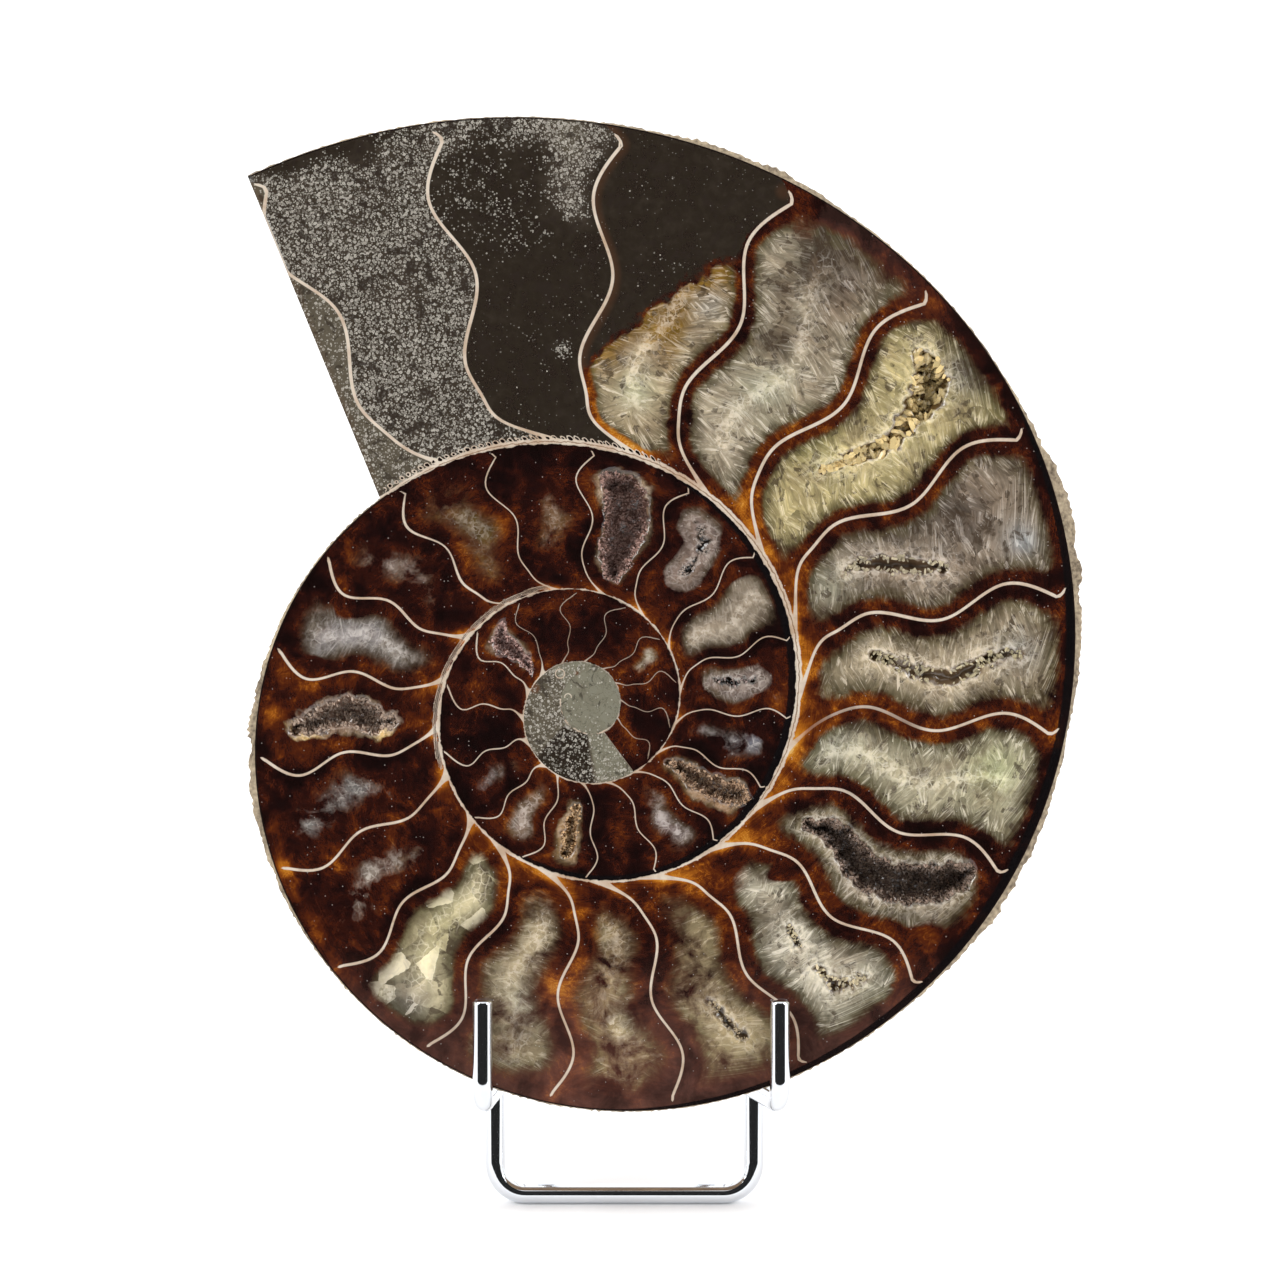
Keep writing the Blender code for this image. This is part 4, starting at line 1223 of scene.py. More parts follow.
    def tinge(self, at: Points, tint: Array) -> Array:
        """Shades the crystals' colour softly from place to place."""
        for right, up, size, colour in self.tinges:
            tint = tint + 0.8 * at.near(right, up, size)[:, None] * (np.array(linear(colour)) - tint)
        return tint

    def cloud(self, at: Points, values: dict[str, Array]) -> None:
        """Adds the clouds to the values that describe the stone."""
        for right, up, size, *amounts in self.clouds:
            near = at.near(right, up, size)
            for name, amount in zip(("crystals", "white", "ember", "dim"), amounts):
                values[name] = values[name] + amount * near

    def fill_mud(self, at: Points, values: dict[str, Array]) -> None:
        """Spreads the sand and the grey mud through the first four chambers.

        Args:
            at: The points.
            values: The values that describe the stone, which it changes.
        """
        turn, share, chamber = at.turn, at.share, at.chamber

        # Pale sand fills the second chamber and the top of the third, over grey to olive mud.
        wavy = 3 * ripple(turn * 0.35, at.radius * 0.2, 4.0)
        smooth_skin = smooth_step(0.95, 0.985, share + 0.01 * wavy) * smooth_step(26, 18, turn)
        sandy = 1 - 0.95 * smooth_skin - 0.5 * smooth_step(0.25, 0.05, share) * smooth_step(16, 24, turn)
        fringe = 0.26 * smooth_step(41, 28, turn + 1.5 * wavy) * smooth_step(0.55, 0.8, share)
        tongue = bell(turn, 38.5, 2.2) * smooth_step(0.7, 0.82, share + 0.02 * wavy)
        top = smooth_step(0.92, 0.965, share + 0.012 * wavy)
        lump = np.exp(-((((at.right + 3.0) ** 2 + (at.up - 53.2) ** 2) / 1.5**2) ** 2))
        first_three = [chamber == number for number in range(3)]
        uneven = sandy * (0.86 + 0.2 * ripple(at.right * 0.16, at.up * 0.13, 7.0))
        spotted = np.clip(np.maximum(fringe, tongue) + 0.6 * top + lump, 0, 1)
        sand = np.select(first_three, (0.5 + 0 * turn, uneven, spotted), 0.0)
        in_mud = turn < MUD_END
        values["speckle"] = np.where(in_mud, 0.06 + 0.84 * sand, values["speckle"])
        packed = np.select(first_three, (0.55 + 0 * turn, 0.2 * sandy, 0.35 * tongue + 0.2 * top), 0.0)
        values["ash_and_painted_veil"] = np.where(in_mud, packed, values["ash_and_painted_veil"])

        # Mud reaches into the fourth chamber from its outer wall, down to a slanting line.
        fourth = chamber == 3
        slant = share - (0.42 + (turn - 44) * 0.026)
        slant = slant + 0.02 * ripple(at.right * 0.5, at.up * 0.5, 6.0)
        slant = slant + 0.012 * ripple(at.right * 1.7, at.up * 1.7, 2.0)
        values["ember"] = values["ember"] - 0.12 * fourth * smooth_step(-0.1, -0.02, slant)
        values["mud"] = np.clip(np.where(fourth, 0.5 + 4.0 * slant, values["mud"]), 0, 1)
        values["crystals"] = values["crystals"] - 0.9 * fourth * smooth_step(-0.045, -0.015, slant)
        values["amber"] = fourth * smooth_step(-0.24, -0.07, slant + 0.03 * wavy)


PATCHES = Patches()


@dataclass
class Stone:
    """The fossil: its polished face with all its chambers, its ribbed back and its rough rim.

    Attributes:
        place: Where the face stands.
        spiral: The outer wall of the shell.
        septa: The walls between its chambers.
        flank: Its back.
        finishes: The polished face, the rim, the back and the sawn sides.
        banks: The runs of chambers, from the aperture inwards.
        core: The mud in the middle.
        rim_rows: Rows of points past the polished edge.
        corner: How round the brown rims are in the chambers' corners, in mm.
        septum_mm: Half a septum's thickness, as pairs of turn and mm with straight lines between them.
        outward: How much nearer the outer wall seems to the brown rim, in the same way.
        gold: How strongly gold shines through the chambers' tails.
        black_mm: Width of the black skin along the outer wall, and none below 0.
    """

    place: FaceFrame
    spiral: Spiral
    septa: Septa
    flank: Flank
    finishes: list[Material]
    banks: tuple[Bank, ...] = (
        Bank("stone_mud_chambers", 0, 3, 36, 90, True),
        Bank("stone_upper_right_chambers", 3, 7, 40, 96, True),
        Bank("stone_right_chambers", 7, 11, 40, 90, True),
        Bank("stone_lower_chambers", 11, 15, 36, 80, True),
        Bank("stone_left_chambers", 15, 20, 36, 70, True),
        Bank("stone_second_whorl_upper", 20, 27, 26, 48, False),
        Bank("stone_second_whorl_lower", 27, 35, 26, 48, False),
        Bank("stone_third_whorl", 35, 43, 18, 30, False),
    )
    core: Bank = Bank("stone_core", 0, 1, 240, 60, False)
    rim_rows: int = 3
    corner: float = 1.3
    septum_mm: Line = ((0, 0.24), (90, 0.23), (200, 0.18), (355, 0.18), (360, 0.09), (710, 0.08), (720, 0.045))
    outward: Line = ((44, 1.0), (52, 0.5), (80, 0.6), (110, 0.85), (200, 0.9))
    gold: Line = ((60, 0.45), (80, 0.55), (105, 0.9), (350, 1.0), (520, 0.9), (600, 0.5), (700, 0.4), (730, 0.2))
    black_mm: Line = (
        (85, -1), (100, 0.7), (120, 1.3), (150, 1.3), (175, 1.0), (205, 0.5), (250, -1), (405, -1),
        (425, 0.4), (445, 0.9), (470, 1.2), (520, 1.05), (560, 0.8), (600, 0.7), (614, -1),
    )  # fmt: skip

    def septum_length(self, number: int, share: Array) -> tuple[Array, Array]:
        """How far along a septum each share lies, and how much the septum slants there.

        Args:
            number: The septum.
            share: Shares of the whorl's width.

        Returns:
            The length from its foot in mm, and the ratio of true distance to distance round the whorl.
        """
        at = np.linspace(0, 1, 160)
        turn = self.septa.turn(number, at, self.spiral)
        radius = self.spiral.radius(turn, at)
        right, up = self.spiral.on_face(turn, radius)
        length = np.concatenate(([0], np.cumsum(np.hypot(np.diff(right), np.diff(up)))))
        round_way = np.radians(np.gradient(turn, at)) * radius
        slant = 1 / np.sqrt(1 + (round_way / np.gradient(radius, at)) ** 2)
        return np.interp(share, at, length), np.interp(share, at, slant)

    def slab(self, bank: Bank) -> tuple[Mesh, Array]:
        """A closed slab, one unit long for each chamber and one unit wide, still flat.

        Args:
            bank: The run of chambers.

        Returns:
            The mesh, whose x counts chambers, y goes from the inner wall to the outer, and z is 0 in front,
            and one row for each of its points.
        """
        count = bank.last - bank.first
        rows = bank.rows + (self.rim_rows if bank.rim else 0)
        bm = bmesh.new()
        bmesh.ops.create_grid(bm, x_segments=count * bank.across, y_segments=rows, size=0.5)
        bmesh.ops.translate(bm, verts=bm.verts, vec=(0.5, 0.5, 0.0))
        bmesh.ops.scale(bm, verts=bm.verts, vec=(count, rows / bank.rows, 1.0))
        bmesh.ops.solidify(bm, geom=bm.faces[:], thickness=1.0)
        bmesh.ops.recalc_face_normals(bm, faces=bm.faces)
        mesh = bpy.data.meshes.new(bank.name)
        bm.to_mesh(mesh)
        bm.free()
        flat = np.zeros(len(mesh.vertices) * 3)
        mesh.vertices.foreach_get("co", flat)
        return mesh, flat.reshape(-1, 3)

    def settle(self, mesh: Mesh, behind: Array, past: Array, weld: bool = False) -> Piece:
        """Gives each face its finish, cleans the slab and puts it in the scene.

        Args:
            mesh: The shaped slab.
            behind: Whether each point is on the back.
            past: How many rows past the polished edge it is.
            weld: Whether points that meet are joined.

        Returns:
            The piece.
        """
        loops = np.zeros(len(mesh.loops), np.int32)
        mesh.loops.foreach_get("vertex_index", loops)
        corners = loops.reshape(-1, 4)
        back, touched = behind[corners].all(axis=1), behind[corners].any(axis=1)
        finish = np.select((back, touched, past[corners].max(axis=1) > 0), (2, 3, 1), 0)
        mesh.polygons.foreach_set("material_index", finish.astype(np.int32))
        mesh.polygons.foreach_set("use_smooth", np.ones(len(mesh.polygons), bool))
        bm = bmesh.new()
        bm.from_mesh(mesh)
        if weld:
            bmesh.ops.remove_doubles(bm, verts=bm.verts, dist=1e-6)
        bmesh.ops.dissolve_degenerate(bm, dist=1e-7, edges=bm.edges)
        bmesh.ops.recalc_face_normals(bm, faces=bm.faces)
        for edge in bm.edges:
            finishes = [face.material_index for face in edge.link_faces]
            edge.smooth = len(finishes) != 2 or finishes[0] == finishes[1]
        name = mesh.name
        bpy.data.meshes.remove(mesh)
        return to_piece(bm, name, self.finishes)

    def build_bank(self, bank: Bank) -> Piece:
        """Shapes one run of chambers and notes on each point what it is made of.

        Args:
            bank: The run of chambers.

        Returns:
            The piece.
        """
        mesh, flat = self.slab(bank)
        behind = np.abs(flat[:, 2]) > 0.5
        chamber = np.clip(np.floor(flat[:, 0] + 1e-5).astype(int), 0, bank.last - bank.first - 1) + bank.first
        u = np.clip(flat[:, 0] + bank.first - chamber, 0, 1)
        share = np.clip(flat[:, 1], 0, 1)
        past = np.clip(np.round((flat[:, 1] - 1) * bank.rows), 0, self.rim_rows)
        turn, along, sides = np.zeros(len(flat)), np.zeros(len(flat)), np.zeros((len(flat), 2))
        for number in range(bank.first, bank.last):
            here = chamber == number
            s = share[here]
            before = self.septa.turn(number, s, self.spiral)
            after = self.septa.turn(number + 1, s, self.spiral)
            t = before + u[here] * np.maximum(after - before, 0.02)
            radius = self.spiral.radius(t, s)
            length_before, slant_before = self.septum_length(number, s)
            length_after, slant_after = self.septum_length(number + 1, s)
            sides[here, 0] = np.radians(t - before) * radius * slant_before
            sides[here, 1] = np.radians(after - t) * radius * slant_after
            turn[here] = t
            along[here] = (1 - u[here]) * length_before + u[here] * length_after
        radius = self.spiral.radius(turn, share)
        dorsal, ventral = radius - self.spiral.wall(turn + 360), self.spiral.wall(turn) - radius
        right, up = self.spiral.on_face(turn, radius)

        # The front is flat but for the hollows, and the back follows the flanks.
        depth = np.zeros(len(flat))
        front = ~behind & (past == 0)
        for hollow in HOLLOWS:
            depth[front] = np.maximum(depth[front], hollow.depth_at(right[front], up[front]))
        depth[behind] = self.flank.depth(turn[behind], radius[behind])
        if bank.rim:
            self.shape_rim(turn, radius, depth, past, behind)
            right, up = self.spiral.on_face(turn, radius)
        self.shape(mesh, right, up, depth, turn, radius, behind)

        at = Points(chamber, turn, share, radius, sides, dorsal, ventral, right, up)
        note(mesh, "from_septa", along, at.nearest_side, turn / 9)
        note(mesh, "from_wall", np.radians(turn) * radius, np.minimum(dorsal, ventral), share * 3)
        self.describe(mesh, at)
        return self.settle(mesh, behind, past)

    def shape(
        self, mesh: Mesh, right: Array, up: Array, depth: Array, turn: Array, radius: Array, behind: Array
    ) -> None:
        """Moves the slab's points to their places, and notes where the furrows of the back are."""
        mesh.vertices.foreach_set("co", self.place.world(right, up, depth).astype(np.float32).ravel())
        note(mesh, "furrow", np.where(behind, self.flank.furrow(turn, radius), 0.0))

    def shape_rim(self, turn: Array, radius: Array, depth: Array, past: Array, behind: Array) -> None:
        """Moves the rows past the polished edge out on to the ragged ledge, in place."""
        ledge = self.flank.ledge(turn)
        out = np.array((0.0, 0.45, 0.95, 1.0))[past.astype(int)]
        drop = np.array((0.0, 0.22, 0.55, self.flank.rim_depth))[past.astype(int)]
        rough = 0.16 * ripple(turn * 7.0, past * 2.0, 2.2) * (past > 0)
        radius += np.where(past > 0, ledge * out + rough, 0.0)
        outer = (past > 0) & ~behind
        depth[outer] = np.maximum((drop + 0.5 * rough)[outer], 0.05)
        back = (past > 0) & behind
        depth[back] = self.flank.rim_depth + 0.25 * (1 - out[back]) + 0.12

    def describe(self, mesh: Mesh, at: Points) -> None:
        """Writes on each point how far it is from the walls and what the stone is there."""
        chamber, turn, dorsal, ventral, sides = at.chamber, at.turn, at.dorsal, at.ventral, at.sides
        names = ("rim", "crystals", "white", "ember", "reach")
        values = {name: np.array([getattr(row, name) for row in CHAMBERS])[chamber] for name in names}
        values["mud"] = np.array([float(row.fill is Fill.MUD) for row in CHAMBERS])[chamber]
        hazy = np.array([row.fill is Fill.AMBER for row in CHAMBERS])[chamber]
        tint = PATCHES.tinge(at, np.array([linear(row.tint) for row in CHAMBERS])[chamber])

        # Distance from all four walls at once, rounded in the corners.
        corner = self.corner * np.clip(values["rim"] / 2.4, 0.3, 1.2)
        outward = ventral * np.interp(turn, *zip(*self.outward))
        walls = np.stack((sides[:, 0], sides[:, 1], dorsal * 0.8, outward), axis=-1)
        rounded = -corner * np.log(np.exp(-walls / corner[:, None]).sum(axis=1))
        grown = np.maximum(rounded, 0) / values["rim"]

        # Gold shines through in the narrow tails of the chambers, by the inner wall and the septa's feet.
        tail_mm = at.by_whorl(2.6, 1.4, 1.4)
        narrow = np.exp(-at.nearest_side / (0.55 * tail_mm))
        low = 0.25 * bell(dorsal, 0, 5.5) * smooth_step(185, 150, turn)
        tail = np.exp(-((dorsal / tail_mm) ** 1.4)) * (0.25 + 0.75 * narrow) + low
        strength = np.interp(turn, *zip(*self.gold))
        strip = bell(ventral, 1.3, 1.2) * smooth_step(258, 266, turn) * smooth_step(300, 290, turn)
        uneven = 0.6 + 0.4 * ripple(turn * 0.8, turn * 0.3, 1.0)
        gold = np.where(values["mud"] > 0.5, 0.0, tail * strength + 0.5 * strip * uneven)

        # One side of each septum glows red, and the other stays near black.
        flip = 0.5 + 0.5 * np.sin(chamber * 2.4 + 1.0)
        before, after = bell(sides, 0, 1.9).T
        glow = 0.42 * (flip * before + (1 - flip) * after) * np.interp(turn, (340, 380), (1.0, 0.5))
        values["ember"] = np.maximum(values["ember"] + glow, 0)
        values["speckle"] = 0.4 * values["mud"]
        outer_mist = bell(turn, 62, 15) * smooth_step(8, 2, ventral)
        # Ash mist near the outer wall, and towards the bottom of the face a paler veil that is a painted reflection of
        # the pale floor.
        values["ash_and_painted_veil"] = 0.3 * outer_mist + 0.42 * smooth_step(-34, -54, at.up)
        values["amber"] = 0.0 * turn
        values["dim"] = at.by_whorl(0.04, 0.14, 0.14)
        PATCHES.cloud(at, values)
        PATCHES.fill_mud(at, values)

        # The crystals turn white and sugary round the hollows and along the chambers' middles.
        width = dorsal + ventral
        middle = np.abs(sides[:, 0] - sides[:, 1]) / 2
        heart = np.maximum(middle, np.maximum(0.24 - at.share, at.share - 0.86) * width)
        hollow_heart = np.full(len(turn), np.inf)
        for hollow in HOLLOWS:
            outside = hollow.outside(at.right, at.up)
            same = np.isin(chamber, np.unique(chamber[outside < 0]))
            hollow_heart = np.where(same, np.minimum(outside, hollow_heart), hollow_heart)
            tint[outside < -0.05] = np.array(linear(hollow.floor))
        heart = np.where(np.isfinite(hollow_heart), hollow_heart, heart)
        reach = values["reach"] * (1 + 0.4 * ripple(at.right * 0.4, at.up * 0.4, 3.3))
        fray = np.interp(reach, (4.0, 9.0), (1.1, 3.2))
        crystals = values["crystals"] * smooth_step(reach + fray, reach - 0.4 * fray, heart)
        soft = (turn > OUTER_WHORL) | np.isin(chamber, SOFT_CHAMBERS)
        block = np.select((chamber == BLOCKY_CHAMBER, hazy, soft), (1.0, -1.0, -0.5), 0.0)
        note(mesh, "heart", heart, block, values["ash_and_painted_veil"])
        note(mesh, "limits", *self.walls(at))
        note(mesh, "extra", *self.trim(at))
        note(mesh, "growth", grown, crystals, values["white"])
        note(mesh, "matter", values["mud"], gold, values["ember"], values["speckle"])
        tint[:, :3] *= (1 - np.clip(values["dim"], -0.3, 0.8))[:, None]
        tint += values["amber"][:, None] * (np.array(linear("8E6C2C")) - tint)
        note(mesh, "tint", *tint.T)

    def walls(self, at: Points) -> tuple[Array, Array, Array]:
        """Signed distances in mm from the septa, the whorl walls and the outer skin, negative within them."""
        turn, dorsal, ventral = at.turn, at.dorsal, at.ventral
        thick = np.interp(turn, *zip(*self.septum_mm))
        foot = at.by_whorl(1.2, 0.4, 0.12) * np.exp(-dorsal / at.by_whorl(0.75, 0.4, 0.4))
        before = np.where(at.chamber == 0, FAR, at.sides[:, 0] - thick - foot)
        after = at.sides[:, 1] - thick - 0.5 * foot
        septum = np.minimum(before, after) + 0.9 * smooth_step(0.98, 0.995, at.share)
        pocket = 0.42 - np.hypot(0.7 * (at.sides[:, 0] - 1.25), 1.3 * (dorsal - 0.72))
        septum = at.by_whorl(np.maximum(septum, pocket), septum, septum)
        right_side = bell(turn, 84, 82, 4)
        inner_wall = dorsal - at.by_whorl(0.2 + 0.58 * right_side, 0.14, 0.08)
        outer_wall = at.by_whorl(FAR, ventral - 0.13, ventral - 0.06)
        return septum, np.minimum(inner_wall, outer_wall), at.by_whorl(ventral - 0.18, FAR, FAR)

    def trim(self, at: Points) -> tuple[Array, Array, Array]:
        """Where a row of tiny chambers sits on the inner wall and black skin runs along the outer one.

        Args:
            at: The points.

        Returns:
            Distance from the row, signed distance from the black band, and how pale the shell is.
        """
        turn, share = at.turn, at.share
        beaded = ((turn > -3) & (turn < 58)) | ((turn > 285) & (turn < 385))
        bead = np.where(beaded, at.dorsal - np.where(turn < 100, 0.84, 0.58), FAR)
        black = at.ventral - np.interp(turn, *zip(*self.black_mm)) - 0.1
        worn = bell(turn, 139, 9, 4) * smooth_step(0.62, 0.5, share) * smooth_step(0.02, 0.1, share)
        return bead, black, (1 - 0.72 * worn) * at.by_whorl(1.0, 0.9, 0.6)

    def build_core(self) -> Piece:
        """The heart of the shell, filled with grey mud round a thread of shell, as one piece."""
        mesh, flat = self.slab(self.core)
        behind = np.abs(flat[:, 2]) > 0.5
        turn = self.septa.core_turn + 360 * np.clip(flat[:, 0], 0, 1)
        share = np.clip(flat[:, 1], 0, 1)
        radius = self.spiral.wall(turn) * share
        right, up = self.spiral.on_face(turn, radius)
        depth = np.where(behind, self.flank.depth(turn, radius), 0.0)
        self.shape(mesh, right, up, depth, turn, radius, behind)

        # A disc of plain mud in the middle, sand below it, and a thread of shell along its lower edge.
        from_disc = np.hypot(right - 1.4, up - 0.3)
        thread = np.where(up < 0.9, np.abs(from_disc - 4.75) - 0.08, FAR)
        heart = smooth_step(4.8, 4.6, from_disc)
        lap_turn = np.mod(turn, 360)
        sandy = smooth_step(208, 214, lap_turn) * smooth_step(266, 258, lap_turn) * smooth_step(3.6, 4.6, radius)
        sandy *= 1 - heart
        left = smooth_step(262, 268, lap_turn) * (1 - heart)
        ash_and_painted_veil = np.maximum(0.95 - 0.95 * sandy - 0.35 * left, heart)
        speckle = np.where(sandy > 0.5, 0.5, 0.5 + 0.1 * left - 0.3 * heart)
        ring = np.abs(np.hypot(right + 3.4, up - 4.6) - 0.68) - 0.08
        curl = np.where(up > 0.9, np.abs(np.hypot(right + 2.2, up - 1.1) - 0.5) - 0.07, FAR)
        rusty = np.exp(-((right + 7.2) ** 2 + (up - 2.4) ** 2)) + np.exp(-((right + 0.9) ** 2 + (up - 4.7) ** 2) * 5)
        arc = np.radians(turn) * radius
        note(mesh, "from_septa", arc, radius, turn / 9)
        note(mesh, "from_wall", arc, radius, share)
        note(mesh, "limits", np.minimum(ring, curl), thread, FAR)
        note(mesh, "extra", FAR, FAR, 1.0)
        note(mesh, "heart", FAR, 0.0, ash_and_painted_veil)
        note(mesh, "growth", 0.0, 0.0, 0.0)
        note(mesh, "matter", 1.0, 0.0, rusty, speckle)
        note(mesh, "tint", *linear("8C8A72"))
        return self.settle(mesh, behind, np.zeros(len(flat)), weld=True)


def unit(vectors: Array) -> Array:
    """Brings each row to a length of one."""
    return vectors / np.linalg.norm(vectors, axis=1)[:, None]


@dataclass
class CrystalLining:
    """The small pointed crystals that line one hollow, joined into one mesh.

    Attributes:
        place: Where the face stands.
        hollow: The hollow.
        sides: Sides of one crystal.
        edge: How far within the hollow's edge the crystals begin, in mm.
        rim_only: How far in they reach in a hollow whose deep crystals get dark painted shade.
        lean: How much each crystal leans away from its wall's normal.
        cover: How far below the face every point stays, in mm.
    """

    place: FaceFrame
    hollow: Hollow
    sides: int = 5
    edge: float = 0.02
    rim_only: float = 0.55
    lean: float = 0.33
    cover: float = 0.03

    def prototype(self) -> tuple[Array, Array]:
        """One crystal, a prism with a point, one unit high: its points, and its triangles as their numbers."""
        bm = bmesh.new()
        bmesh.ops.create_cone(
            bm, cap_ends=True, cap_tris=True, segments=self.sides, radius1=0.34, radius2=0.3, depth=1.1
        )
        bmesh.ops.translate(bm, verts=bm.verts, vec=(0, 0, 0.05))
        top = [face for face in bm.faces if all(vert.co.z > 0.5 for vert in face.verts)]
        for vert in {vert for face in top for vert in face.verts if vert.co.xy.length < 0.05}:
            vert.co.z = 1.0
        bmesh.ops.triangulate(bm, faces=bm.faces)
        bmesh.ops.recalc_face_normals(bm, faces=bm.faces)
        bm.verts.index_update()
        points = np.array([vert.co[:] for vert in bm.verts])
        faces = np.array([[vert.index for vert in face.verts] for face in bm.faces])
        bm.free()
        return points, faces

    def inward(self, right: Array, up: Array, step: float = 0.15) -> Array:
        """The direction out of the hollow's wall or floor, as right, up and depth, from its slope over a step."""
        depth_at = self.hollow.depth_at
        slope_right = (depth_at(right + step, up) - depth_at(right - step, up)) / (2 * step)
        slope_up = (depth_at(right, up + step) - depth_at(right, up - step)) / (2 * step)
        return unit(np.stack((slope_right, slope_up, -np.ones(len(right))), axis=-1))

    def build(self, finish: Material) -> Piece:
        """Scatters the crystals over the hollow's walls and floor, points inwards.

        Args:
            finish: The crystals' material.

        Returns:
            The piece.
        """
        hollow = self.hollow
        chance = np.random.default_rng(int(hollow.depth * 10) + hollow.count)
        u, v, half = hollow.line()
        pick = chance.integers(0, len(u), hollow.count * 4)
        reach = half[pick] * np.sqrt(chance.random(len(pick))) * 1.12 + 0.1
        way = chance.random(len(pick)) * 2 * math.pi
        right, up = u[pick] + reach * np.cos(way), v[pick] + reach * np.sin(way)
        outside = hollow.outside(right, up)
        innermost = -math.inf if hollow.painted_deep_brightness > 0.5 else -self.rim_only
        keep = np.flatnonzero((outside < -self.edge) & (outside > innermost))[: hollow.count]
        right, up, outside = right[keep], up[keep], outside[keep]
        count = len(keep)
        facing = unit(self.inward(right, up) + chance.normal(0, self.lean, (count, 3)))
        size = hollow.size * chance.uniform(0.55, 1.35, count)
        girth = size * chance.uniform(0.6, 1.1, count)
        other = unit(np.cross(facing, chance.normal(0, 1, (count, 3))))
        axes = (girth[:, None] * other, girth[:, None] * np.cross(facing, other), size[:, None] * facing)
        points, faces = self.prototype()
        seat = np.stack((right, up, hollow.depth_at(right, up) + 0.1 * size), axis=-1)
        corners = seat[:, None, :] + sum(points[None, :, i, None] * axis[:, None, :] for i, axis in enumerate(axes))
        right, up, depth = corners.reshape(-1, 3).T
        joined = (faces[None] + np.arange(count)[:, None, None] * len(points)).reshape(-1, 3)
        name = f"crystals_{hollow.name}"
        mesh = bpy.data.meshes.new(name)
        mesh.from_pydata(self.place.world(right, up, np.maximum(depth, self.cover)), [], joined.tolist())
        # Painted light and shade: crystals dark deep in the hollow and bright at its edge, times a random tone for
        # each.
        painted_depth_light = np.interp(outside, (-2.2, -0.9, -0.2), (hollow.painted_deep_brightness, 0.5 + 0.5 * hollow.painted_deep_brightness, 1.35))
        note(mesh, "shade", np.repeat(painted_depth_light * chance.uniform(0.65, 1.25, count), len(points)))
        bm = bmesh.new()
        bm.from_mesh(mesh)
        bpy.data.meshes.remove(mesh)
        bmesh.ops.recalc_face_normals(bm, faces=bm.faces)
        return to_piece(bm, name, [finish])


